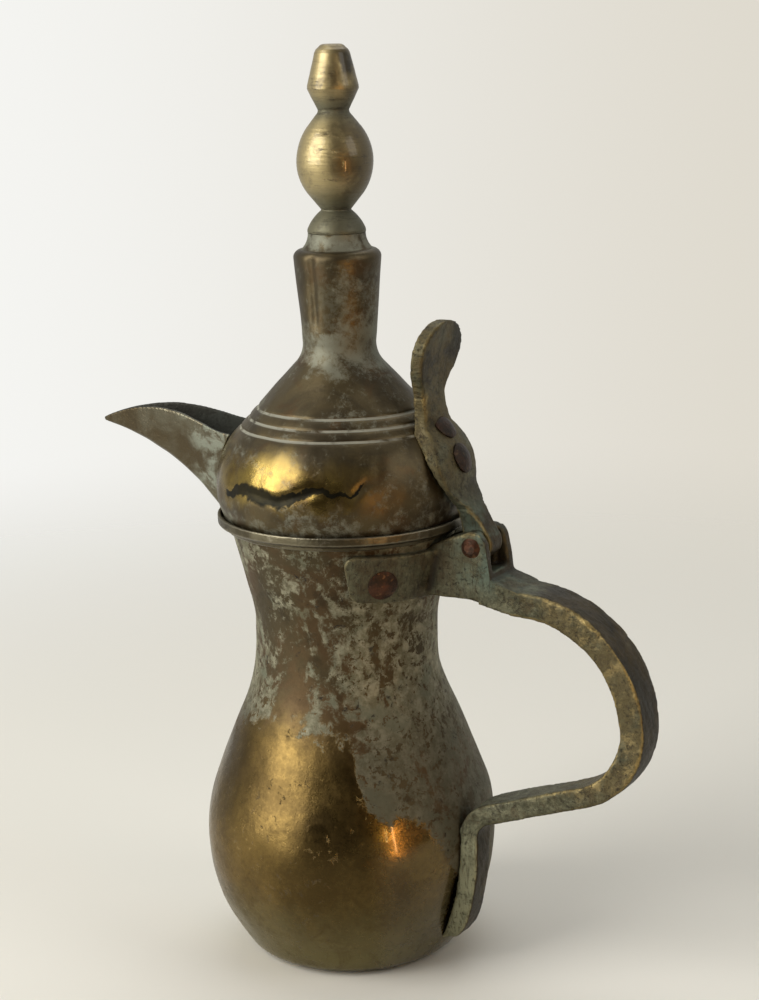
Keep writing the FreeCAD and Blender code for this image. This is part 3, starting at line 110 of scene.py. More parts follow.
class Wire:
    # a socket that can be reckoned with
    def __init__(self, socket):
        self.socket = socket

    def node(self, kind, settings=None, inputs=None, out=0):
        # any other node: settings first, then its sockets by number or name
        made = self.socket.id_data.nodes.new(kind)
        for key, value in (settings or {}).items():
            if key == "stops":
                ramp = made.color_ramp
                while len(ramp.elements) < len(value):
                    ramp.elements.new(0.5)
                for stop, (place, colour) in zip(ramp.elements, value):
                    stop.position = place
                    stop.color = colour
            else:
                setattr(made, key, value)
        for key, value in (inputs or {}).items():
            feed(made.inputs[key], value)
        return Wire(made.outputs[out])

    __add__, __radd__ = reckon("ADD"), reckon("ADD", True)
    __sub__, __rsub__ = reckon("SUBTRACT"), reckon("SUBTRACT", True)
    __mul__, __rmul__ = reckon("MULTIPLY"), reckon("MULTIPLY", True)
    __truediv__, __pow__ = reckon("DIVIDE"), reckon("POWER")

    def above(self, low, high):
        # 0 below low, 1 above high, smooth between; the other way round if low is the larger
        smooth = {"interpolation_type": "SMOOTHSTEP"}
        return self.node("ShaderNodeMapRange", smooth, {0: self, 1: low, 2: high})

    def between(self, low, lowFull, highFull, high):
        # 1 from lowFull to highFull, falling smoothly to 0 at low and at high
        return self.above(low, lowFull) * self.above(high, highFull)

    def blend(self, first, second):
        # colours: the first where this mask is 0, the second where it is 1
        return self.node("ShaderNodeMix", {"data_type": "RGBA"}, {0: self, 6: first, 7: second}, 2)

    def noise(self, scale, detail=4.0, rough=0.55, warp=0.0, stretch=None):
        # cloudy noise: scale in lumps per metre, drawn out along an axis with a small stretch
        place = self
        if stretch is not None:
            place = self.node("ShaderNodeVectorMath", {"operation": "MULTIPLY"}, {0: self, 1: stretch})
        return self.node("ShaderNodeTexNoise", {}, {
            "Vector": place, "Scale": scale, "Detail": detail, "Roughness": rough, "Distortion": warp})

    def dot(self, way):
        return self.node(
            "ShaderNodeVectorMath", {"operation": "DOT_PRODUCT"}, {0: self, 1: tuple(way)}, "Value")

    def parts(self):
        # the three numbers of a vector
        return [self.node("ShaderNodeSeparateXYZ", {}, {0: self}, k) for k in range(3)]

    def stored(self, name):
        # a number kept on the mesh, one per vertex
        return self.node("ShaderNodeAttribute", {"attribute_name": name}, {}, "Fac")

    def bump(self, strength, distance, after=None):
        inputs = {"Strength": strength, "Distance": distance, "Height": self}
        if after is not None:
            inputs["Normal"] = after
        return self.node("ShaderNodeBump", {}, inputs)


def rgb(r, g, b):
    # a colour as it is read off a screen, 0 to 255, turned into light
    shares = (c / 255 for c in (r, g, b))
    return tuple(c / 12.92 if c < 0.04045 else ((c + 0.055) / 1.055) ** 2.4 for c in shares) + (1.0,)


def newMaterial(name, paint, finish):
    # paint gets Object coordinates in metres, a finish and its noises, and returns the sockets' values
    material = bpy.data.materials.new(name)
    material.use_nodes = True
    tree = material.node_tree
    shader = tree.nodes["Principled BSDF"]
    coords = Wire(tree.nodes.new("ShaderNodeTexCoord").outputs["Object"])

    def noise(key):
        return coords.noise(*finish[key])

    for key, value in paint(coords, finish, noise).items():
        feed(shader.inputs[key], value)
    return material


def pictureSide(x, y, z):
    # how far a place lies to the picture's right of the axis, towards the camera, and up
    c, s = math.cos(math.radians(shot["around"])), math.sin(math.radians(shot["around"]))
    return x * c + y * s, x * s - y * c, z


# Finishes: colours of the metal under soft light, then noises as lumps per metre, detail, roughness,
# distortion and stretch, then places in metres, from where to where a mask rises, or rises and falls

vesselFinish = {
    "gold": rgb(122, 101, 58), "brown": rgb(83, 68, 40), "deep": rgb(40, 35, 25), "olive": rgb(124, 116, 80),
    "tin": rgb(105, 102, 80), "tinPale": rgb(154, 151, 129), "rust": rgb(82, 66, 45),
    "green": rgb(108, 112, 94), "under": rgb(73, 65, 46), "dull": rgb(66, 61, 46),
    "cloud": (38, 6, 0.6, 0.6), "fine": (420, 5, 0.65), "grit": (1500, 3, 0.6), "flake": (200, 9, 0.74, 0.25),
    "streak": (58, 6, 0.64, 0.5, (1.0, 1.0, 0.45)), "chips": (290, 8, 0.74, 0.3), "pits": (300, 7, 0.7, 0.4),
    "pitted": (70, 3), "speck": (640, 6, 0.78), "tarnish": (26, 4, 0.6, 0.6), "stain": (105, 7, 0.68, 0.8),
    "mottle": (260, 8, 0.75, 0.2), "greened": (70, 5, 0.6, 0.5), "shade": (90, 5, 0.6),
    "swirl": (34, 2, 0.5), "hammer": (120, 2, 0.4),
    "edge": 0.084, "fall": 0.026, "right": (-0.0015, 0.0065), "slope": 0.05, "sloping": (0.018, 0.052),
    "hold": (-0.03, 0.02), "oliveFoot": (0.036, 0.006), "dullLow": (0.105, 0.07), "polished": (0.004, 0.014),
}


def paintVessel(coords, f, noise):
    side, _, z = pictureSide(*coords.parts())
    cloud, fine, grit, flake = map(noise, ("cloud", "fine", "grit", "flake"))
    # old tin over the brass: it ends in a ragged line round the belly, which falls towards the handle's side
    right = side.above(*f["right"])
    edge = f["edge"] - right * f["fall"] - side.above(*f["sloping"]) * f["slope"]
    height = z - edge + (cloud - 0.5) * 0.018
    tinned = (height + (flake - 0.5) * 0.026).above(-0.0012, 0.0016)
    aged = (height + (1 - right) * (cloud - 0.5) * 0.02).above(-0.01, 0.014)
    aged = aged + (tinned - aged) * right
    # the film is nearly whole on the handle's side, worn to soft streaks on the other, and chipped all over
    chips = (noise("chips") * 0.75 + cloud * 0.25 + right * 0.012).above(0.45, 0.475)
    film = noise("streak") * 0.55 + flake * 0.45 + side.above(*f["hold"]) * 0.07
    tin = tinned * film.above(0.475, 0.545) * chips
    pits = noise("pits").above(0.595, 0.65) * noise("pitted").above(0.42, 0.58)
    speck = noise("speck")
    brass = (noise("tarnish") * 0.7 + speck * 0.3).above(0.36, 0.62).blend(f["gold"], f["brown"])
    brass = ((z + (cloud - 0.5) * 0.03).above(*f["oliveFoot"]) * 0.8).blend(brass, f["olive"])
    stain = (noise("stain") * 0.8 + speck * 0.2).above(0.48, 0.66)
    brass = (stain * 0.55).blend(brass, f["brown"])
    mottle = noise("mottle")
    grey = (mottle * 0.6 + fine * 0.4).above(0.4, 0.62).blend(f["tin"], f["tinPale"])
    grey = (noise("greened").above(0.5, 0.66) * 0.7).blend(grey, f["green"])
    grey = (z.above(*f["dullLow"]) * (0.35 + mottle * 0.5)).blend(grey, f["dull"])
    under = cloud.above(0.42, 0.6).blend(f["under"], f["rust"])
    under = (noise("shade").above(0.54, 0.66) * 0.5).blend(under, f["deep"])
    colour = tin.blend((aged * 0.92).blend(brass, under), grey)
    colour = (pits * (0.3 + tinned * 0.55)).blend(colour, f["deep"])
    rough = 0.3 + tin * 0.08 + aged * 0.25 + pits * 0.2 + (fine - 0.5) * 0.16
    rough = rough + (speck - 0.5) * 0.24 + stain * 0.1
    # the bare brass under the film's edge is still polished
    polish = side.above(*f["polished"]) * (1 - aged)
    swirl = noise("swirl").bump(0.25, 0.004)
    hammer = noise("hammer").bump(0.12, 0.0016, swirl)
    relief = (tin * 0.25 + fine * 0.25 + grit * 0.2 - pits * 0.6).bump(0.35, 0.0006, hammer)
    return {"Base Color": colour, "Metallic": 1 - tin * 0.15 - aged * 0.2 - pits * 0.3,
            "Roughness": rough - polish * 0.06, "Coat Weight": polish * 0.5, "Coat Roughness": 0.08,
            "Normal": relief}


# The split in the dome: millimetres to the picture's right of the axis, its height, and half its width
split = {
    "side": (-38, -31, -26, -21, -15, -6.5, 2, 7),
    "height": (160.8, 163.2, 162.4, 161.2, 163.6, 165.6, 163.4, 167.4),
    "half": (0.8, 2.3, 2.9, 2.6, 1.3, 0.8, 0.6, 0.45),
}


def splitShare(side):
    # 0 at the split's left end and 1 at its right, for a place in millimetres
    first, last = split["side"][0], split["side"][-1]
    return (side - first) / (last - first)


def splitRamp(along, name):
    # the split's height or half width, in metres, read along it from a ramp of values from 0 to 1
    low, high = min(split[name]), max(split[name])
    stops = [(splitShare(x), ((v - low) / (high - low),) * 3 + (1.0,))
             for x, v in zip(split["side"], split[name])]
    share = along.node("ShaderNodeValToRGB", {"stops": stops}, {0: along})
    return share * ((high - low) * mm) + low * mm


def ringLines(z):
    # 1 in the engraved rings, which lie one above the other on the dome's slope
    offs = [(z - height) / mm for height in ringHeights]
    return sum((off * off).above(0.2, 0.04) for off in offs)


lidFinish = {
    "gold": rgb(164, 141, 76), "brown": rgb(92, 81, 57), "umber": rgb(70, 62, 46), "grey": rgb(130, 131, 115),
    "rust": rgb(86, 66, 42), "ring": rgb(158, 158, 144), "soot": rgb(21, 26, 27),
    "cloud": (45, 5, 0.6, 0.7), "fine": (520, 5, 0.66), "bloom": (240, 9, 0.8, 0.2),
    "bloomed": (62, 5, 0.6, 0.5), "rusted": (80, 5, 0.6, 0.4), "speckle": (330, 9, 0.8, 0.2),
    "tarnish": (60, 6, 0.7), "ragged": (170, 4, 0.6, 0.3), "ferruled": (210, 7, 0.75, 0.3),
    "dust": (160, 4, 0.6), "dents": (52, 2, 0.4, 0.5),
    "band": (0.157, 0.165, 0.168, 0.178), "bandRight": (0.016, 0.034), "throat": (0.192, 0.204, 0.207, 0.218),
    "tube": (0.206, 0.212, 0.214, 0.236), "tubeRight": (-0.006, 0.004), "lidEdge": (0.163, 0.152),
    "speckled": (0.206, 0.212, 0.218, 0.238), "speckledRight": (-0.012, 0.002),
    "front": (0.004, 0.01), "ferrule": (0.236, 0.2366),
}


def paintLid(coords, f, noise):
    side, near, z = pictureSide(*coords.parts())
    cloud, fine = noise("cloud"), noise("fine")
    # a rubbed band of brass round the dome's fullest part, widest on the near left: real wear, brightened on
    # the left as a painted highlight
    band = (z + (cloud - 0.5) * 0.022).between(*f["band"])
    rubbedAndLit = band * (0.42 - side * 16.0 + (cloud - 0.5) * 1.8).above(0.1, 0.85)
    # grey bloom: thick at the chimney's foot, thinner up its handle side and along the lid's edge
    zone = z.between(*f["throat"]) + z.between(*f["tube"]) * side.above(*f["tubeRight"]) * 0.6
    zone = zone + z.above(*f["lidEdge"]) * 0.55 + band * side.above(*f["bandRight"]) * 0.5
    bloom = noise("bloom") * 0.65 + noise("bloomed") * 0.35 + zone * 0.13
    bloom = bloom.above(0.52, 0.67)
    dark = cloud.above(0.36, 0.64).blend(f["brown"], f["umber"])
    dark = (noise("rusted").above(0.52, 0.68) * 0.6).blend(dark, f["rust"])
    speckled = z.between(*f["speckled"]) * side.above(*f["speckledRight"])
    dark = (speckled * noise("speckle").above(0.44, 0.6) * 0.6).blend(dark, f["grey"])
    gold = noise("tarnish").above(0.34, 0.74).blend(f["gold"], f["rust"])
    colour = rubbedAndLit.blend(dark, gold)
    # a ragged dark split under the brightest of the brass, wide on the left and thin on the right: painted
    # shade in the split
    along = splitShare(side / mm)
    ragged = (noise("ragged") - 0.5) * 0.007
    off = (z - splitRamp(along, "height") - ragged) / splitRamp(along, "half")
    soot = (off * off).above(1.5, 0.5) * near.above(*f["front"]) * along.between(0.0, 0.02, 0.98, 1.0)
    colour = (soot * 0.92).blend(colour, f["soot"])
    ferrule = z.above(*f["ferrule"]) * noise("ferruled").above(0.36, 0.56)
    grey = bloom * (1 - rubbedAndLit * 0.75) * (1 - soot) * 0.8 + ferrule * 0.8
    grey = grey.node("ShaderNodeClamp", {}, {0: grey})
    colour = grey.blend(colour, f["grey"])
    # pale dust left in the three engraved rings, broken here and there
    groove = ringLines(z) * noise("dust").above(0.3, 0.52)
    colour = (groove * 0.75).blend(colour, f["ring"])
    rough = 0.42 - rubbedAndLit * 0.22 + soot * 0.16 + grey * 0.2 + (fine - 0.5) * 0.14 + groove * 0.3
    dents = noise("dents").bump(0.32, 0.003)
    relief = (fine * 0.4 + grey * 0.4).bump(0.28, 0.0006, dents)
    return {"Base Color": colour, "Metallic": 0.85 + rubbedAndLit * 0.15 - grey * 0.35 - groove * 0.5 + soot * 0.12,
            "Roughness": rough, "Normal": relief}


finialFinish = {
    "gold": rgb(172, 156, 112), "brown": rgb(104, 92, 65), "dark": rgb(48, 43, 33), "grey": rgb(94, 95, 79),
    "cloud": (75, 5, 0.6, 0.5), "rounds": (1500, 5, 0.7, 0.0, (0.05, 0.05, 1.0)),
    "scratch": (620, 6, 0.75, 0.2, (0.12, 0.12, 1.0)), "stain": (170, 6, 0.7), "uneven": (120, 2),
    "foot": (0.259, 0.25), "neck": (0.274, 0.28, 0.281, 0.287),
    "nickSide": (0.0012, 0.0028), "nickNear": (0.0, 0.002), "nickHeight": (0.29, 0.2925, 0.297, 0.2995),
}


def paintFinial(coords, f, noise):
    side, near, z = pictureSide(*coords.parts())
    cloud, rounds = noise("cloud"), noise("rounds")
    scratch = noise("scratch").above(0.57, 0.66)
    # gold on the left and brown on the right: random wear, with a painted highlight on the lit left and
    # painted shade on the right
    worn = (cloud + side * 22.0).above(0.66, 0.38).blend(f["brown"], f["gold"])
    joint = (z + (cloud - 0.5) * 0.006).above(*f["foot"]) + z.between(*f["neck"])
    stain = noise("stain").above(0.52, 0.68)
    colour = (joint * 0.85).blend(worn, f["grey"])
    colour = (scratch * 0.6 + stain * 0.45 + rounds.above(0.52, 0.72) * 0.3).blend(colour, f["dark"])
    # painted shade of a nick in the knob's top edge, which the shape itself does not have
    nickShade = side.above(*f["nickSide"]) * near.above(*f["nickNear"]) * z.between(*f["nickHeight"])
    colour = (nickShade * cloud.above(0.3, 0.5) * 0.85).blend(colour, f["dark"])
    rough = 0.43 + joint * 0.1 + stain * 0.12 + (rounds - 0.5) * 0.3
    uneven = noise("uneven").bump(0.12, 0.001)
    relief = (rounds * 0.6 - scratch * 0.5).bump(0.35, 0.0005, uneven)
    return {"Base Color": colour, "Metallic": 0.9 - stain * 0.25 - joint * 0.25, "Roughness": rough,
            "Coat Weight": 0.45 - joint * 0.4, "Coat Roughness": 0.13, "Normal": relief}


castFinish = {
    "green": rgb(62, 62, 44), "pale": rgb(110, 109, 86), "olive": rgb(94, 84, 54), "brown": rgb(50, 45, 33),
    "brass": rgb(184, 162, 106), "rust": rgb(74, 63, 42), "sea": rgb(84, 98, 86), "dark": rgb(36, 32, 26),
    "lichen": rgb(138, 139, 112),
    "cloud": (60, 5, 0.6, 0.6), "fine": (560, 6, 0.7), "mottle": (330, 9, 0.8, 0.3), "handled": (85, 5, 0.65),
    "hinged": (120, 6, 0.7), "rusted": (110, 6, 0.7), "dirt": (190, 8, 0.78, 0.4), "footed": (100, 6, 0.7),
    "rub": (45, 3, 0.6), "worn": (420, 7, 0.78), "sheen": (150, 8, 0.78, 0.3), "smear": (110, 5, 0.6),
    "filed": (760, 6, 0.75, 0.2, (0.55, 1.0, 1.0)), "strokes": (1300, 4, 0.7, 0.0, (1.0, 1.0, 0.1)),
    "pits": (700, 4, 0.7),
    "armHeight": (0.122, 0.127, 0.147, 0.15), "armBack": (0.056, 0.048), "armFront": (0.048, 0.04),
    "runHeight": (0.085, 0.075), "blockBack": (0.078, 0.068), "blockHeight": (0.152, 0.146),
    "strapHeight": (0.15, 0.157), "strapBack": (0.058, 0.052), "gripOut": (0.058, 0.078),
    "gripHeight": (0.06, 0.072), "thumbHeight": (0.158, 0.172), "jointHeight": (0.126, 0.136, 0.152, 0.162),
    "jointFront": (0.042, 0.048), "farCheek": (0.001, 0.004), "footHeight": (0.056, 0.044),
    "sheenTop": (0.162, 0.15), "thumbTop": (0.198, 0.203), "thumbFar": (0.003, 0.008),
    "strokesHeight": (0.058, 0.048),
}


def paintCasting(coords, f, noise):
    x, y, z = coords.parts()
    edge = coords.stored("edge")
    _, facing, upward = coords.node("ShaderNodeNewGeometry", {}, {}, "Normal").parts()
    cloud, fine, mottle = map(noise, ("cloud", "fine", "mottle"))
    # flanks, arms, strap, and the tops of the run and of the hinge block are green; the grip's back is dark
    flank = (facing * facing).above(0.2, 0.6)
    arm = z.between(*f["armHeight"]) * x.above(*f["armBack"])
    block = x.above(*f["blockBack"]) * z.above(*f["blockHeight"])
    top = upward.above(0.35, 0.75) * (z.above(*f["runHeight"]) + block)
    strap = z.above(*f["strapHeight"]) * x.above(*f["strapBack"])
    cover = flank * 0.55 + arm * 0.45 + top * 0.5 + strap * 0.36
    patina = (cover + cloud * 1.1 + (mottle - 0.5) * 1.1).above(0.6, 0.98)
    back = cloud.above(0.35, 0.65).blend(f["brown"], f["rust"])
    green = (mottle * 0.7 + cloud * 0.3).above(0.42, 0.64).blend(f["green"], f["pale"])
    # brassier where hands hold it, bluer at the hinge, browner along the arms, paler down at the foot
    held = x.above(*f["gripOut"]) * z.above(*f["gripHeight"]) + z.above(*f["thumbHeight"])
    green = (held * noise("handled").above(0.34, 0.54) * 0.9).blend(green, f["olive"])
    joint = z.between(*f["jointHeight"]) * x.above(*f["jointFront"])
    green = (joint * noise("hinged").above(0.4, 0.56) * 0.8).blend(green, f["sea"])
    green = (arm * 0.3).blend(green, f["pale"])
    rusted = arm * x.above(*f["armFront"]) * noise("rusted").above(0.42, 0.6)
    green = (rusted * 0.7).blend(green, f["rust"])
    green = (joint * y.above(*f["farCheek"]) * 0.8).blend(green, f["brown"])
    dirt = noise("dirt").above(0.5, 0.62)
    green = (dirt * 0.55).blend(green, f["rust"])
    foot = z.above(*f["footHeight"]) * noise("footed").above(0.3, 0.54)
    green = foot.blend(green, f["lichen"])
    colour = patina.blend(back, green)
    # rubbed arrises show bright brass, broken up, and held flanks a little of it
    rub = noise("rub").above(0.34, 0.6) * (0.22 + held * 0.78 + joint * flank * 0.3)
    worn = (edge + (noise("worn") - 0.5) * 1.5).above(0.45, 0.9) * rub
    colour = (worn * 0.7).blend(colour, f["brass"])
    sheen = held * flank * noise("sheen").above(0.5, 0.64) * z.above(*f["sheenTop"])
    colour = (sheen * 0.32).blend(colour, f["brass"])
    smear = strap * z.above(*f["thumbTop"]) * y.above(*f["thumbFar"])
    smear = smear * noise("smear").above(0.34, 0.52)
    colour = (smear * 0.75).blend(colour, f["dark"])
    # file marks lie along the casting, upright on arms, cheeks and foot; pits hold dirt, and corners get dirt
    # and painted shade
    filed = noise("filed")
    strokes = noise("strokes")
    marks = filed + (strokes - filed) * (arm + joint * flank + z.above(*f["strokesHeight"])).above(0.2, 0.8)
    colour = (marks.above(0.51, 0.66) * 0.62).blend(colour, f["brown"])
    pits = noise("pits").above(0.57, 0.65)
    colour = (pits * 0.6).blend(colour, f["dark"])
    # darker in the corners: painted shade, with some dirt
    cornerShadeAndGrime = (edge + (cloud - 0.5) * 0.6).above(-0.1, -0.6)
    colour = (cornerShadeAndGrime * 0.85).blend(colour, f["dark"])
    rough = 0.44 - worn * 0.16 - sheen * 0.1 + patina * 0.1 + (fine - 0.5) * 0.24
    relief = (fine * 0.5 + marks * 0.6 - pits * 0.6 - dirt * 0.3).bump(0.5, 0.0006, cloud.bump(0.15, 0.002))
    return {"Base Color": colour, "Metallic": 0.85 - patina * 0.3 + worn * 0.25, "Roughness": rough,
            "Normal": relief}


bandFinish = {
    "grey": rgb(110, 104, 84), "brown": rgb(78, 71, 54), "pale": rgb(146, 140, 122),
    "cloud": (70, 6, 0.65, 0.5), "fine": (600, 4, 0.65), "spots": (180, 6, 0.7),
}


def paintBand(coords, f, noise):
    edge = coords.stored("edge")
    cloud, fine = noise("cloud"), noise("fine")
    colour = cloud.above(0.38, 0.62).blend(f["brown"], f["grey"])
    colour = (noise("spots").above(0.55, 0.68) * 0.5).blend(colour, f["pale"])
    colour = ((edge + (fine - 0.5) * 0.8).above(0.45, 0.9) * 0.5).blend(colour, f["pale"])
    # darker in the corners: painted shade
    colour = (edge.above(-0.1, -0.6) * 0.75).blend(colour, f["brown"])
    return {"Base Color": colour, "Metallic": 0.9, "Roughness": 0.4 + (fine - 0.5) * 0.3,
            "Normal": fine.bump(0.35, 0.0005)}


spoutFinish = {
    "brown": rgb(86, 76, 57), "grey": rgb(108, 103, 86), "green": rgb(136, 141, 126), "dark": rgb(42, 45, 42),
    "cloud": (55, 6, 0.62, 0.6), "fine": (520, 5, 0.66), "patch": (95, 7, 0.7, 0.3), "root": (-0.06, -0.046),
}


def paintSpout(coords, f, noise):
    x = coords.parts()[0]
    cloud, fine = noise("cloud"), noise("fine")
    inside = coords.stored("inside")
    colour = cloud.above(0.4, 0.6).blend(f["brown"], f["grey"])
    root = (x + (cloud - 0.5) * 0.03).above(*f["root"])
    patch = root * noise("patch").above(0.47, 0.6)
    colour = (patch * 0.85).blend(colour, f["green"])
    colour = (inside * 0.85).blend(colour, f["dark"])
    rough = 0.34 + inside * 0.25 + patch * 0.2 + (fine - 0.5) * 0.2
    return {"Base Color": colour, "Metallic": 0.95 - patch * 0.4 - inside * 0.3, "Roughness": rough,
            "Normal": (fine + patch * 0.5).bump(0.3, 0.0006, cloud.bump(0.2, 0.003))}


copperFinish = {
    "red": rgb(90, 59, 43), "dark": rgb(54, 42, 33), "bright": rgb(126, 92, 64),
    "cloud": (240, 5, 0.65), "fine": (900, 4, 0.65), "spots": (420, 4),
}
strapCopper = {**copperFinish, "red": rgb(66, 48, 37), "dark": rgb(46, 38, 31), "bright": rgb(96, 78, 58)}


def paintCopper(coords, f, noise):
    cloud, fine = noise("cloud"), noise("fine")
    colour = cloud.above(0.36, 0.62).blend(f["red"], f["dark"])
    colour = (noise("spots").above(0.6, 0.7) * 0.6).blend(colour, f["bright"])
    return {"Base Color": colour, "Metallic": 0.8, "Roughness": 0.45 + (fine - 0.5) * 0.25,
            "Normal": (fine + cloud).bump(0.5, 0.0005)}


# Surfaces, in millimetres

def wobble(points, wave, seed, waves=10):
    # a smooth random field: a sum of sines in seeded directions, about one unit high, wave in millimetres
    rng = np.random.default_rng(seed)
    way = rng.normal(size=(waves, 3))
    way *= (2 * np.pi / (wave * rng.uniform(0.7, 1.4, waves)) / np.linalg.norm(way, axis=1))[:, None]
    phase = rng.uniform(0, 2 * np.pi, waves)
    return np.sin(points @ way.T + phase).sum(axis=1) / math.sqrt(waves)


def dents(points, d):
    # broad swells with finer hammer marks on them
    return (d["swell"] * wobble(points, d["swellWave"], d["seed"])
            + d["hammer"] * wobble(points, d["hammerWave"], d["seed"] + 1))


def stepUp(value, low, high):
    # t t (3 - 2 t) from 0 at low to 1 at high
    t = np.clip((value - low) / (high - low), 0, 1)
    return t * t * (3 - 2 * t)


def within(value, low, lowFull, highFull, high):
    # 1 from lowFull to highFull, 0 at low and at high
    return stepUp(value, low, lowFull) * stepUp(value, high, highFull)


def line(p, q, n):
    # n points from p towards q, without q itself
    t = np.linspace(0, 1, n, endpoint=False)[:, None]
    return np.asarray(p, float) * (1 - t) + np.asarray(q, float) * t


def onCircle(centre, radius, angle):
    return centre[0] + radius * math.cos(angle), centre[1] + radius * math.sin(angle)


def arc(centre, radius, start, end, n):
    # n points round a centre, angles in radians, without the last one
    t = np.linspace(start, end, n, endpoint=False)
    return np.stack([centre[0] + radius * np.cos(t), centre[1] + radius * np.sin(t)], 1)


def putMesh(name, points, faces):
    mesh = bpy.data.meshes.new(name)
    mesh.from_pydata((points * mm).tolist(), [], faces.tolist())
    mesh.polygons.foreach_set("use_smooth", np.ones(len(faces), bool))
    mesh.update()
    piece = bpy.data.objects.new(name, mesh)
    coll.objects.link(piece)
    return piece


def gridFaces(rows, columns, closed):
    # quads of a grid of points round the axis; if closed, the last row joins the first
    i, j = np.meshgrid(np.arange(rows if closed else rows - 1), np.arange(columns), indexing="ij")
    up, on = (i + 1) % rows, (j + 1) % columns
    corners = [i * columns + j, i * columns + on, up * columns + on, up * columns + j]
    return np.stack(corners, -1).reshape(-1, 4)


def cleaned(piece, weld=2e-6, sharp=38.0):
    # closes poles and seams, turns all faces outwards, and keeps edges over that many degrees sharp
    work = bmesh.new()
    work.from_mesh(piece.data)
    bmesh.ops.remove_doubles(work, verts=work.verts, dist=weld)
    bmesh.ops.recalc_face_normals(work, faces=work.faces)
    work.to_mesh(piece.data)
    work.free()
    piece.data.set_sharp_from_angle(angle=math.radians(sharp))
    return piece


def turned(name, section, around, shape=None, closed=True):
    # a section carried round the axis: x = r cos a, y = r sin a, moved out by shape(points, a, r, z)
    section = np.asarray(section, float)
    a = np.linspace(0, 2 * np.pi, around, endpoint=False)
    r, ang = np.meshgrid(section[:, 0], a, indexing="ij")
    z = np.repeat(section[:, 1][:, None], around, 1)
    points = np.stack([r * np.cos(ang), r * np.sin(ang), z], -1).reshape(-1, 3)
    if shape is not None:
        push = shape(points, ang.ravel(), r.ravel(), z.ravel())
        points[:, 0] += push * np.cos(ang.ravel())
        points[:, 1] += push * np.sin(ang.ravel())
    return cleaned(putMesh(name, points, gridFaces(len(section), around, closed)))


def coat(mesh, metal):
    mesh.materials.clear()
    mesh.materials.append(metal)


def dress(piece, node, body, metal):
    # gives a piece its finish and its place in the frame
    coat(piece.data, metal)
    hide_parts(node)
    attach(piece, body)


# The vessel's outline, as the solids have it
vessel = {
    "wall": 1.2, "baseRadius": 29.4, "baseCorner": 9.0, "baseInner": 4.0, "bellyRadius": 49.3,
    "bellyHeight": 42.5, "bellyArc": 44.4, "waistRadius": 30.3, "waistHeight": 109.3, "waistLow": 60.0,
    "waistHigh": 58.7, "mouthRadius": 37.8, "mouthHeight": 148.3, "notchWidth": 16.0, "notchDepth": 7.5,
    "notchEdge": (0.3, -2.4),
}


def crossTangent(c1, r1, c2, r2):
    # angle of the straight run between two arcs that lie on its two sides
    dx, dy = c2[0] - c1[0], c2[1] - c1[1]
    return math.atan2(dy, dx) - math.acos((r1 + r2) / math.hypot(dx, dy))


def bellySection(wall):
    # from the base edge up to the waist, moved in by the wall
    v = vessel
    corner = (v["baseRadius"], v["baseCorner"])
    shift, drop = v["baseRadius"] - v["bellyRadius"], v["bellyHeight"] - v["baseCorner"]
    low = (v["baseCorner"] ** 2 - shift ** 2 - drop ** 2) / (2 * (shift + v["baseCorner"]))
    lowC = (v["bellyRadius"] - low, v["bellyHeight"])
    highC = (v["bellyRadius"] - v["bellyArc"], v["bellyHeight"])
    waistC = (v["waistRadius"] + v["waistLow"], v["waistHeight"])
    turn = math.atan2(corner[1] - lowC[1], corner[0] - lowC[0])
    run = crossTangent(highC, v["bellyArc"], waistC, v["waistLow"])
    high, out = v["bellyArc"] - wall, v["waistLow"] + wall
    return np.concatenate([
        arc(corner, v["baseCorner"] - wall, -math.pi / 2, turn, 14),
        arc(lowC, low - wall, turn, 0, 26),
        arc(highC, high, 0, run, 22),
        line(onCircle(highC, high, run), onCircle(waistC, -out, run), 18),
        arc(waistC, out, math.pi + run, math.pi, 16),
        [(v["waistRadius"] - wall, v["waistHeight"])],
    ])


def neckSection(wall):
    # from the waist up to the mouth
    v = vessel
    centre = (v["waistRadius"] + v["waistHigh"], v["waistHeight"])
    radius = v["waistHigh"] + wall
    mouth = (v["mouthRadius"] - wall, v["mouthHeight"])
    dx, dy = mouth[0] - centre[0], mouth[1] - centre[1]
    start = math.atan2(dy, dx) + math.acos(radius / math.hypot(dx, dy))
    touch = onCircle(centre, radius, start)
    return np.concatenate([arc(centre, radius, math.pi, start, 14), line(touch, mouth, 24), [mouth]])


def baseSection():
    # a flat disc: out along its underside and back along its top
    edge, thick, inner = vessel["baseRadius"], vessel["wall"], vessel["baseInner"]
    return np.concatenate([
        [(0, 0)], line((inner, 0), (edge, 0), 16), [(edge, 0), (edge, thick)],
        line((edge - 1, thick), (inner, thick), 16), [(0, thick)]])


# Dents fade out to the ends of free, where a sheet meets its neighbours
bellyDents = {
    "swell": 0.5, "swellWave": 42.0, "hammer": 0.06, "hammerWave": 12.0, "inset": 0.45, "seed": 3,
    "free": (1.5, 12.0, 96.0, 109.0),
}


def bellyShape(points, a, r, z):
    # dents and an even inset, both fading out at the sheet's ends
    d = bellyDents
    return within(z, *d["free"]) * (dents(points, d) - d["inset"])


neckDents = {
    "swell": 0.3, "swellWave": 34.0, "hammer": 0.05, "hammerWave": 9.0, "seed": 41,
    "free": (110.0, 118.0, 136.0, 143.0),
}


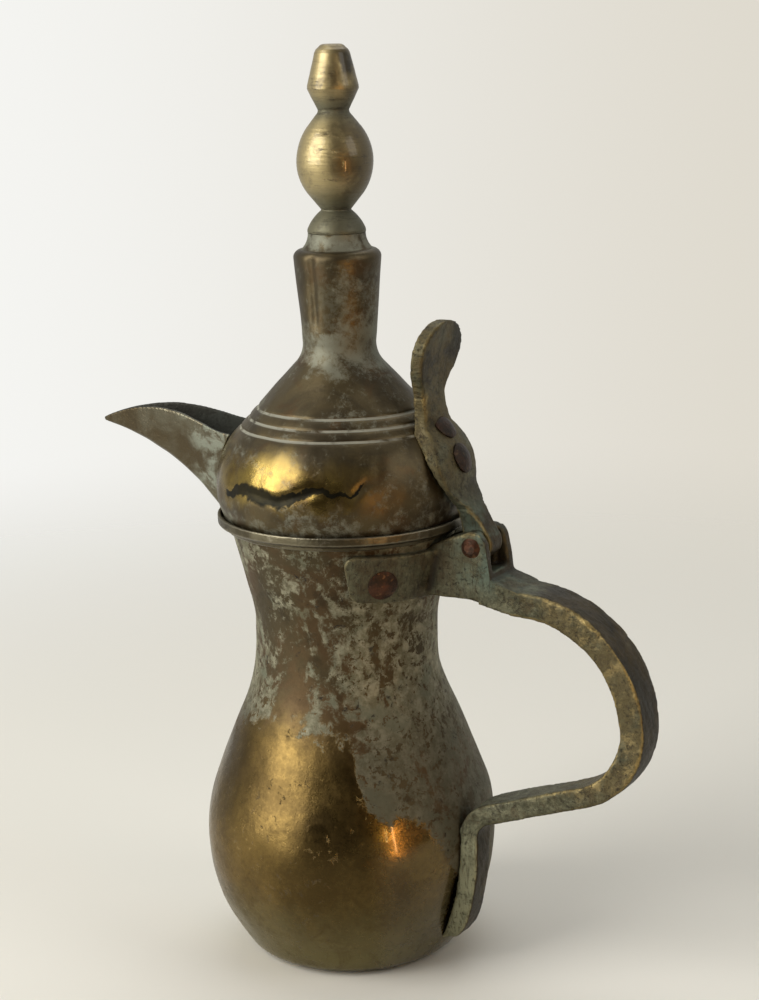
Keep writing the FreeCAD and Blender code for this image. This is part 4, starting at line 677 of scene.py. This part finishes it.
def makeNeck(around=320, rows=70):
    # height runs from the waist to the mouth, and to the pouring notch's edge behind the spout:
    # z = waist + t (top(a) - waist), r from the section at that height
    v, d = vessel, neckDents
    a = np.linspace(0, 2 * np.pi, around, endpoint=False)
    t = np.linspace(0, 1, rows)
    half = v["notchWidth"] / 2
    behind = np.where(np.cos(a) < 0, np.abs(np.sin(a)) * v["mouthRadius"], v["mouthRadius"])
    top = v["mouthHeight"] - v["notchDepth"] * stepUp(behind, *(half + edge for edge in v["notchEdge"]))
    z = v["waistHeight"] + t[:, None] * (top - v["waistHeight"])[None, :]
    ang = np.repeat(a[None, :], rows, 0)
    sheets = []
    for wall in (0, v["wall"]):
        section = neckSection(wall)
        r = np.interp(z, section[:, 1], section[:, 0])
        points = np.stack([r * np.cos(ang), r * np.sin(ang), z], -1)
        push = dents(points.reshape(-1, 3), d).reshape(z.shape) * within(z, *d["free"])
        points[..., 0] += push * np.cos(ang)
        points[..., 1] += push * np.sin(ang)
        sheets.append(points)
    points = np.concatenate([sheets[0], sheets[1][::-1]]).reshape(-1, 3)
    return cleaned(putMesh("neckShell", points, gridFaces(2 * rows, around, True)))


def makeVessel(metal):
    outer, inner = bellySection(0), bellySection(vessel["wall"])
    belly = turned("bellyShell", np.concatenate([outer, inner[::-1]]), 320, bellyShape)
    dress(belly, "belly", "pot", metal)
    dress(turned("baseDisc", baseSection(), 128, closed=False), "base_disc", "pot", metal)
    dress(makeNeck(), "neck", "pot", metal)


def numbers(data, key, width, kind=float):
    # a mesh's own values as one array
    out = np.empty(len(data) * width, kind)
    data.foreach_get(key, out)
    return out.reshape(-1, width)


def keep(mesh, name, values):
    # one number per vertex, for the finish to read
    mesh.attributes.new(name, "FLOAT", "POINT").data.foreach_set("value", values.astype(np.float32))


def softened(name, node, settings, bend=None):
    # a worn casting from its solid: doubles merged, an even grain, edges rubbed down, then uneven all over
    piece = bpy.data.objects.new(name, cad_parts[node].data.copy())
    coll.objects.link(piece)
    cleaned(piece)
    grain = piece.modifiers.new("grain", "REMESH")
    grain.mode = "VOXEL"
    grain.voxel_size = settings["grain"] * mm
    rub = piece.modifiers.new("rub", "SMOOTH")
    rub.factor = 0.5
    rub.iterations = settings["rub"]
    made = bpy.data.meshes.new_from_object(piece.evaluated_get(bpy.context.evaluated_depsgraph_get()))
    piece.modifiers.clear()
    piece.data = made
    place = numbers(made.vertices, "co", 3) / mm
    if bend is not None:
        place = bend(place)
        made.vertices.foreach_set("co", (place * mm).ravel())
        made.update()
    out = numbers(made.vertices, "normal", 3)
    ends = numbers(made.edges, "vertices", 2, int)
    degree = np.bincount(ends.ravel(), minlength=len(place))[:, None]

    def around(values):
        # mean over each vertex's neighbours
        total = np.zeros_like(values)
        np.add.at(total, ends[:, 0], values[ends[:, 1]])
        np.add.at(total, ends[:, 1], values[ends[:, 0]])
        return total / degree

    # how far an edge stands out from its neighbours, smoothed: 1 on a sharp arris, below 0 in a corner
    stands = ((place - around(place)) * out).sum(1, keepdims=True)
    for _ in range(4):
        stands = 0.4 * stands + 0.6 * around(stands)
    keep(made, "edge", stands[:, 0] / (settings["grain"] ** 2 * settings["sharp"]))
    rough = sum(high * wobble(place, wave, settings["seed"] + k)
                for k, (wave, high) in enumerate(settings["uneven"]))
    inside = np.clip((place + out * rough[:, None]) * mm, *cadBox)
    made.vertices.foreach_set("co", inside.ravel())
    made.polygons.foreach_set("use_smooth", np.ones(len(made.polygons), bool))
    made.update()
    return piece


# The strap as it was hammered out: how far its near and its far edge lie from the middle at each height
strapEdges = {
    "height": (150, 153, 156, 159, 162, 165, 168, 171, 174, 177, 180, 184, 187.5, 190.5, 194, 198, 203.5),
    "near": (4.3, 4.8, 6.6, 9.2, 11.4, 13.0, 13.8, 13.8, 13.0, 11.4, 9.8, 8.8, 8.9, 9.5, 10.6, 12.0, 12.8),
    "far": (4.3, 4.6, 5.6, 6.6, 7.4, 9.2, 11.0, 12.4, 12.8, 12.0, 10.0, 7.4, 5.8, 5.2, 6.8, 11.5, 16.0),
    "thumb": 203.5, "thumbRadius": 11.5, "thumbLeast": 0.004, "row": 0.5, "span": (140, 220, 321),
    "blurReach": 16, "blurWide": 9.0, "bent": (149.0, 152.0), "lies": (149.0, 155.0, 182.0, 194.0),
}


def bendStrap(place):
    # t = y / half(z) across the solid's strap, y' = t far(z) or t near(z), with a round thumb end;
    # then it is wrapped round the dome it lies on: x' = x cos(y'/x)
    e = strapEdges
    x, y, z = place.T
    row = ((z - z.min()) / e["row"]).astype(int)
    half = np.zeros(row.max() + 1)
    np.maximum.at(half, row, np.abs(y))
    middle = z.min() + (np.arange(len(half)) + 0.5) * e["row"]
    t = y / np.interp(z, middle, half)
    past = np.maximum(z - e["thumb"], 0) / e["thumbRadius"]
    cap = np.sqrt(np.clip(1 - past ** 2, e["thumbLeast"], 1))
    fine = np.linspace(*e["span"])
    reach = e["blurReach"]
    blur = np.exp(-(np.arange(-reach, reach + 1) / e["blurWide"]) ** 2)
    edge = {}
    for name in ("near", "far"):
        padded = np.pad(np.interp(fine, e["height"], e[name]), reach, mode="edge")
        edge[name] = np.interp(z, fine, np.convolve(padded, blur / blur.sum(), mode="valid")) * cap
    moved = t * np.where(t > 0, edge["far"], edge["near"])
    y = y + stepUp(z, *e["bent"]) * (moved - y)
    lies = within(z, *e["lies"])
    return np.stack([x - lies * x * (1 - np.cos(y / x)), y, z], 1)


# The handle's ends: half widths of the grip and the cheeks and where they meet, then the foot's tip
handleEnds = {
    "cheek": 9.0, "grip": 7.4, "cheekStart": 53.0, "cheekEnd": 58.0, "gripFrom": 80.0, "gripLow": 110.0,
    "footOut": 20.0, "tip": 7.6, "full": 18.0, "thin": 0.1, "narrow": 0.25, "middle": -8.75,
    "sway": 2.4, "swayFrom": 34.0,
}


def bendHandle(place):
    # the grip widens into the cheeks: y' = y widen(x), but no further out than they are;
    # the foot leans by sway and ends in a round tip: it narrows to its middle, and what stands out d from
    # the belly thins to d' = d (1 - low (1 - thin))
    f = handleEnds
    x, y, z = place.T
    wide = np.abs(y)
    upper = (x > f["cheekStart"]) * (z > f["gripLow"])
    widen = 1 + (f["cheek"] / f["grip"] - 1) * stepUp(x, f["gripFrom"], f["cheekEnd"]) * upper
    y = np.sign(y) * np.maximum(wide, np.minimum(wide * widen, f["cheek"]))
    foot = x > f["footOut"]
    down = np.clip((f["full"] - z) / (f["full"] - f["tip"]), 0, 1)
    low = (1 - np.sqrt(1 - down ** 2)) * foot
    sway = f["sway"] * stepUp(z, f["swayFrom"], f["tip"]) * foot
    y = y + (f["middle"] - y) * low * (1 - f["narrow"]) + sway
    section = bellySection(0)
    away = np.hypot(x, y)
    belly = np.interp(z, section[:, 1], section[:, 0])
    out = np.maximum(away - belly, 0) * low * (1 - f["thin"])
    return np.stack([x * (1 - out / away), y * (1 - out / away), z], 1)


# Wear: the grain's size, how often it is rubbed, what counts as sharp, and waves with their heights
handleWear = {
    "grain": 0.62, "rub": 7, "sharp": 0.16, "seed": 60, "uneven": ((26.0, 0.16), (7.0, 0.06), (2.6, 0.035))}
strapWear = {
    "grain": 0.5, "rub": 7, "sharp": 0.16, "seed": 80, "uneven": ((18.0, 0.1), (5.0, 0.035), (2.2, 0.02))}
spoutWear = {"grain": 0.36, "rub": 3, "sharp": 0.2, "seed": 100, "uneven": ((24.0, 0.12), (8.0, 0.05))}
bandWear = {"grain": 0.36, "rub": 3, "sharp": 0.2, "seed": 120, "uneven": ((30.0, 0.05), (5.0, 0.03))}


def makeCastings(cast, beak, band):
    dress(softened("handleCasting", "handle", handleWear, bendHandle), "handle", "pot", cast)
    dress(softened("lidStrap", "lid_strap", strapWear, bendStrap), "lid_strap", "lid", cast)
    dress(softened("rimBand", "rim_band", bandWear), "rim_band", "pot", band)
    spout = softened("spoutBeak", "spout", spoutWear)
    place, out = numbers(spout.data.vertices, "co", 3), numbers(spout.data.vertices, "normal", 3)
    # the trough's inside faces up and towards the middle
    keep(spout.data, "inside", stepUp(0.5 * out[:, 2] - out[:, 1] * np.sign(place[:, 1]), 0.1, 0.5))
    dress(spout, "spout", "pot", beak)


lid = {
    "edge": 148.4, "middle": 160.0, "radius": 41.5, "arc": 26.0, "throat": 10.0, "foot": 11.9,
    "footHeight": 206.0, "wall": 1.2, "rings": 3, "ringRise": 179.1, "ringPitch": 4.2, "ringDepth": 0.45,
    "top": 14.1, "topHeight": 236.2, "shoulder": 2.6, "lean": 0.06, "collarTop": 9.3, "collarHeight": 5.1,
    "tangHole": 2.6,
}


def domeRun():
    # the centres of the dome's two arcs, and the angle of the slope between them
    centre = (lid["radius"] - lid["arc"], lid["middle"])
    throat = (lid["foot"] + lid["throat"], lid["footHeight"])
    return centre, throat, crossTangent(centre, lid["arc"], throat, lid["throat"])


def domeSection(wall):
    # from the lid's edge up the dome to the chimney's foot
    d = lid
    centre, throat, run = domeRun()
    big, small = d["arc"] - wall, d["throat"] + wall
    start = math.asin((d["edge"] - d["middle"]) / big)
    return np.concatenate([
        arc(centre, big, start, run, 44),
        line(onCircle(centre, big, run), onCircle(throat, -small, run), 90),
        arc(throat, small, math.pi + run, math.pi, 14),
        [(d["foot"] - wall, d["footHeight"])],
    ])


# Heights of the engraved rings in metres: equal steps along the slope
ringStep = lid["ringPitch"] * math.cos(domeRun()[2])
ringHeights = [(lid["ringRise"] + k * ringStep) * mm for k in range(lid["rings"])]

domeDents = {
    "swell": 0.3, "swellWave": 30.0, "hammer": 0.1, "hammerWave": 9.0, "seed": 21,
    "free": (149.5, 156.0, 198.0, 205.0), "lip": 0.16, "lipUp": 3.6, "lipWide": 2.2, "pinch": 0.45,
    "pinchWide": 1.7, "front": (4.0, 14.0), "ends": (-41.0, -34.0, 4.0, 12.0),
    "ringWide": 0.55, "ringIn": 20.0,
}


def domeShape(points, a, r, z):
    # dents that fade out at both ends, with the split's edges added and the rings cut in
    d = domeDents
    rings = sum(np.exp(-((z - height / mm) / d["ringWide"]) ** 2) for height in ringHeights)
    rings = rings * (r > d["ringIn"])
    # the metal is pinched along the split and stands up above it
    side, near, _ = pictureSide(*points.T)
    off = z - np.interp(side, split["side"], split["height"])
    lip = d["lip"] * np.exp(-((off - d["lipUp"]) / d["lipWide"]) ** 2)
    pinch = d["pinch"] * np.exp(-(off / d["pinchWide"]) ** 2)
    torn = stepUp(near, *d["front"]) * within(side, *d["ends"]) * (lip - pinch)
    return within(z, *d["free"]) * dents(points, d) + torn - lid["ringDepth"] * rings


chimneyDents = {
    "crease": -0.8, "creaseAt": -38.0, "creaseWide": 7.0, "creaseRun": (208.0, 216.0, 233.5, 236.0),
    "swell": 0.2, "swellWave": 17.0, "seed": 31, "free": (206.0, 211.0, 233.5, 236.2),
}


def chimneyShape(points, a, r, z):
    # a crease runs down the chimney on the picture's left, and the wall is uneven
    d = chimneyDents
    at = math.radians(shot["around"] - 90 + d["creaseAt"])
    off = np.degrees(np.angle(np.exp(1j * (a - at))))
    crease = d["crease"] * np.exp(-(off / d["creaseWide"]) ** 2) * within(z, *d["creaseRun"])
    return crease + within(z, *d["free"]) * d["swell"] * wobble(points, d["swellWave"], d["seed"])


def chimneySection():
    # up the outside, over the shoulder, and down the inside
    d = lid
    w, top = d["wall"], d["topHeight"]
    rim = (d["top"] - d["shoulder"], top - d["shoulder"])
    return np.concatenate([
        line((d["foot"], d["footHeight"]), (d["top"], rim[1]), 40),
        arc(rim, d["shoulder"], d["lean"], math.pi / 2, 12),
        [(rim[0], top), (rim[0], top - w)],
        arc(rim, d["shoulder"] - w, math.pi / 2, d["lean"], 6),
        line((d["top"] - w, rim[1]), (d["foot"] - w, d["footHeight"]), 30),
        [(d["foot"] - w, d["footHeight"])]])


def collarSection():
    # a hollow cone from the shoulder's inner edge up to the finial
    d = lid
    edge, low, hole = d["top"] - d["shoulder"], d["topHeight"], d["tangHole"]
    step = edge - d["collarTop"]
    radius = (step ** 2 + d["collarHeight"] ** 2) / (2 * step)
    hollow = (d["collarTop"] + radius, low + d["collarHeight"])
    start = math.atan2(low - hollow[1], edge - hollow[0]) % (2 * math.pi)
    return np.concatenate([
        line((hole, low), (edge, low), 6), arc(hollow, radius, start, math.pi, 20),
        [(d["collarTop"], hollow[1])], [(hole, hollow[1])]])


finial = {
    "low": 232.1, "head": 3.9, "tang": 2.6, "washer": 233.5, "seat": 241.3, "foot": 9.4, "footTop": 242.5,
    "bell": 15.0, "waist": 4.7, "waistHeight": 248.6, "ball": 12.2, "ballArc": 17.5, "ballTop": 279.6,
    "knob": 8.4, "knobHeight": 286.8, "shoulder": 5.6, "shoulderHeight": 298.4, "tip": 3.4,
    "tipHeight": 300.4, "softFoot": 0.5, "softThroat": 1.2, "softKnob": 0.9,
}


def rounded(corners, radius, n=6):
    # a polyline with round corners: each is left and met at the same distance, with a quadratic between
    corners = np.asarray(corners, float)
    out = [corners[:1]]
    t = np.linspace(0, 1, n)[:, None]
    for p, c, q in zip(corners[:-2], corners[1:-1], corners[2:]):
        reach = min(radius, 0.45 * np.linalg.norm(p - c), 0.45 * np.linalg.norm(q - c))
        s = c + (p - c) / np.linalg.norm(p - c) * reach
        e = c + (q - c) / np.linalg.norm(q - c) * reach
        out.append((1 - t) ** 2 * s + 2 * t * (1 - t) * c + t ** 2 * e)
    out.append(corners[-1:])
    return np.concatenate(out)


def finialSection():
    # tang, bell-shaped foot, ball and knob, from the peened end up
    f = finial
    chord = np.array([f["waist"] - f["foot"], f["waistHeight"] - f["footTop"]])
    middle = np.array([f["foot"] + f["waist"], f["footTop"] + f["waistHeight"]]) / 2
    length = np.linalg.norm(chord)
    square = np.array([-chord[1], chord[0]]) / length
    bell = middle + square * math.sqrt(f["bell"] ** 2 - length ** 2 / 4)
    bellStart = math.atan2(f["footTop"] - bell[1], f["foot"] - bell[0])
    bellEnd = math.atan2(f["waistHeight"] - bell[1], f["waist"] - bell[0])
    centre = (f["ball"] - f["ballArc"], (f["waistHeight"] + f["ballTop"]) / 2)
    dx, dy = f["waist"] - centre[0], f["waistHeight"] - centre[1]
    reach = math.atan2(dy, dx) + math.acos(f["ballArc"] / math.hypot(dx, dy))
    bellArc = arc(bell, f["bell"], bellStart, bellEnd, 16)
    ballArc = arc(centre, f["ballArc"], reach, -reach, 48)
    low = rounded([
        (0, f["low"]), (f["head"], f["low"]), (f["head"], f["washer"]), (f["tang"], f["washer"]),
        (f["tang"], f["seat"]), (f["foot"], f["seat"]), (f["foot"], f["footTop"]), bellArc[3]], f["softFoot"])
    throat = rounded([bellArc[-2], (f["waist"], f["waistHeight"]), ballArc[1]], f["softThroat"])
    knob = rounded([
        ballArc[-1], (f["waist"], f["ballTop"]), (f["knob"], f["knobHeight"]),
        (f["shoulder"], f["shoulderHeight"]), (f["tip"], f["tipHeight"]), (0, f["tipHeight"]),
    ], f["softKnob"], 8)
    knobFill = np.concatenate([line(p, q, 6) for p, q in zip(knob[:-1], knob[1:])] + [knob[-1:]])
    return np.concatenate([low[:-1], bellArc[4:-2], throat, ballArc[2:-1], knobFill])


finialWear = {
    "tool": 0.025, "toolTurns": 5.2, "toolFrom": (249.0, 253.0), "swell": 0.1, "swellWave": 16.0,
    "swellFrom": (243.0, 252.0), "seed": 51, "axis": (1.0, 3.0),
}


def finialShape(points, a, r, z):
    # turned by hand: faint rounds of the tool, and the ball a little out of true
    w = finialWear
    tool = w["tool"] * np.sin(z * w["toolTurns"]) * stepUp(z, *w["toolFrom"])
    swell = w["swell"] * wobble(points, w["swellWave"], w["seed"]) * stepUp(z, *w["swellFrom"])
    return (tool + swell) * stepUp(r, *w["axis"])


def makeLid(metal, turnedMetal):
    outer, inner = domeSection(0), domeSection(lid["wall"])
    dome = turned("lidDome", np.concatenate([outer, inner[::-1]]), 320, domeShape)
    dress(dome, "lid_dome", "lid", metal)
    dress(turned("lidChimney", chimneySection(), 192, chimneyShape), "lid_chimney", "lid", metal)
    dress(turned("finialCollar", collarSection(), 128), "finial_collar", "lid", metal)
    knob = turned("finialTurned", finialSection(), 160, finialShape, closed=False)
    dress(knob, "finial", "lid", turnedMetal)


placeCamera()
print("camera placed")
makeVessel(newMaterial("tinnedBrass", paintVessel, vesselFinish))
print("vessel made")
lidMetal = newMaterial("brownedBrass", paintLid, lidFinish)
makeLid(lidMetal, newMaterial("turnedBrass", paintFinial, finialFinish))
print("lid made")
makeCastings(
    newMaterial("castBrass", paintCasting, castFinish), newMaterial("beakBrass", paintSpout, spoutFinish),
    newMaterial("rimBrass", paintBand, bandFinish))
print("castings made")
copper = newMaterial("rivetCopper", paintCopper, copperFinish)
finishes = {
    "arm_rivets": copper, "hinge_pin": copper,
    "strap_rivets": newMaterial("strapCopper", paintCopper, strapCopper),
    "lid_bezel": lidMetal, "chimney_cap": lidMetal, "finial_washer": lidMetal,
}
for node, metal in finishes.items():
    coat(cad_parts[node].data, metal)
print("rivets and inner rings finished")


# Studio: metres, and degrees round the pot from the camera's side

floorPaper = {
    "colour": rgb(224, 222, 214), "mirrored": (0.02, 0.018, 0.015, 1.0), "grain": (900, 3, 0.6),
    "radius": 3.0, "height": -0.0002, "fade": (0.85, 0.22),
    "darkFrom": (-0.02, 0.16), "darkRight": 0.7, "darkShare": 0.4,
}


def paintFloor(coords, f, noise):
    # paper that fades away into the pale room; the metal mirrors a dark room in front of it and on its right
    side, near, _ = pictureSide(*coords.parts())
    far = ((side * side + near * near) ** 0.5).above(*f["fade"])
    glossy = coords.node("ShaderNodeLightPath", {}, {}, "Is Glossy Ray")
    dark = glossy * (near + side * f["darkRight"]).above(*f["darkFrom"]) * f["darkShare"]
    return {"Base Color": dark.blend(f["colour"], f["mirrored"]), "Roughness": 0.75,
            "Specular IOR Level": 0.15, "Alpha": far, "Normal": noise("grain").bump(0.05, 0.0006)}


def makeFloor():
    # a flat disc, with its rings closer together near the pot
    f = floorPaper
    ring = f["radius"] * np.linspace(0, 1, 12) ** 1.5
    around = np.linspace(0, 2 * np.pi, 64, endpoint=False)
    r, a = np.meshgrid(ring, around, indexing="ij")
    points = np.stack([r * np.cos(a), r * np.sin(a), np.full_like(r, f["height"])], -1).reshape(-1, 3)
    floor = cleaned(putMesh("studioFloor", points / mm, gridFaces(len(ring), len(around), False)))
    coat(floor.data, newMaterial("paperFloor", paintFloor, floorPaper))


lampAim = Vector((0, 0, 0.14))
# each lamp: degrees round the pot and up, metres away, width and height, power, colour
lamps = {
    "key": (-64, 24, 1.15, (0.85, 1.2), 16.5, (1.0, 0.97, 0.92)),
    "fill": (62, 30, 1.5, (0.7, 0.9), 4.5, (1.0, 0.98, 0.95)),
    "glow": (32, -2, 1.0, (0.026, 0.36), 1.2, (1.0, 0.5, 0.18)),
    "spark": (25, 0, 1.0, (0.008, 0.22), 0.25, (1.0, 0.86, 0.36)),
    "over": (170, 66, 1.5, (1.2, 1.2), 7, (1.0, 1.0, 1.0)),
}


def makeLamps():
    for name, (around, height, far, size, power, colour) in lamps.items():
        data = bpy.data.lights.new(name + "Light", "AREA")
        data.shape = "RECTANGLE"
        data.size, data.size_y = size
        data.energy = power
        data.color = colour
        light = bpy.data.objects.new(name + "Light", data)
        light.location = lampAim + direction(around, height) * far
        light.rotation_euler = (lampAim - light.location).to_track_quat("-Z", "Y").to_euler()
        coll.objects.link(light)


room = {
    "paleLeft": rgb(246, 246, 243), "paleRight": rgb(222, 217, 205), "paleTurn": (-0.22, 0.24),
    "back": (0.5, 0.5, 0.48, 1.0), "front": (0.045, 0.04, 0.034, 1.0),
    "frontAt": (8, 8), "turn": (-0.15, 0.72),
}


def makeRoom():
    # the camera sees pale paper, brighter on the left; the metal a dimmer room, darkest behind the camera
    world = bpy.data.worlds.new("room")
    bpy.context.scene.world = world
    world.use_nodes = True
    tree = world.node_tree
    look = Wire(tree.nodes.new("ShaderNodeTexCoord").outputs["Generated"])
    paper = look.dot(direction(90)).above(*room["paleTurn"]).blend(room["paleLeft"], room["paleRight"])
    dim = look.dot(direction(*room["frontAt"])).above(*room["turn"]).blend(room["back"], room["front"])
    seen = look.node("ShaderNodeLightPath", {}, {}, "Is Camera Ray")
    shade = tree.nodes["Background"]
    feed(shade.inputs["Color"], seen.blend(dim, paper))
    feed(shade.inputs["Strength"], 1.0)


makeFloor()
makeLamps()
makeRoom()
bpy.context.scene.view_settings.view_transform = "Standard"
print("studio lit")
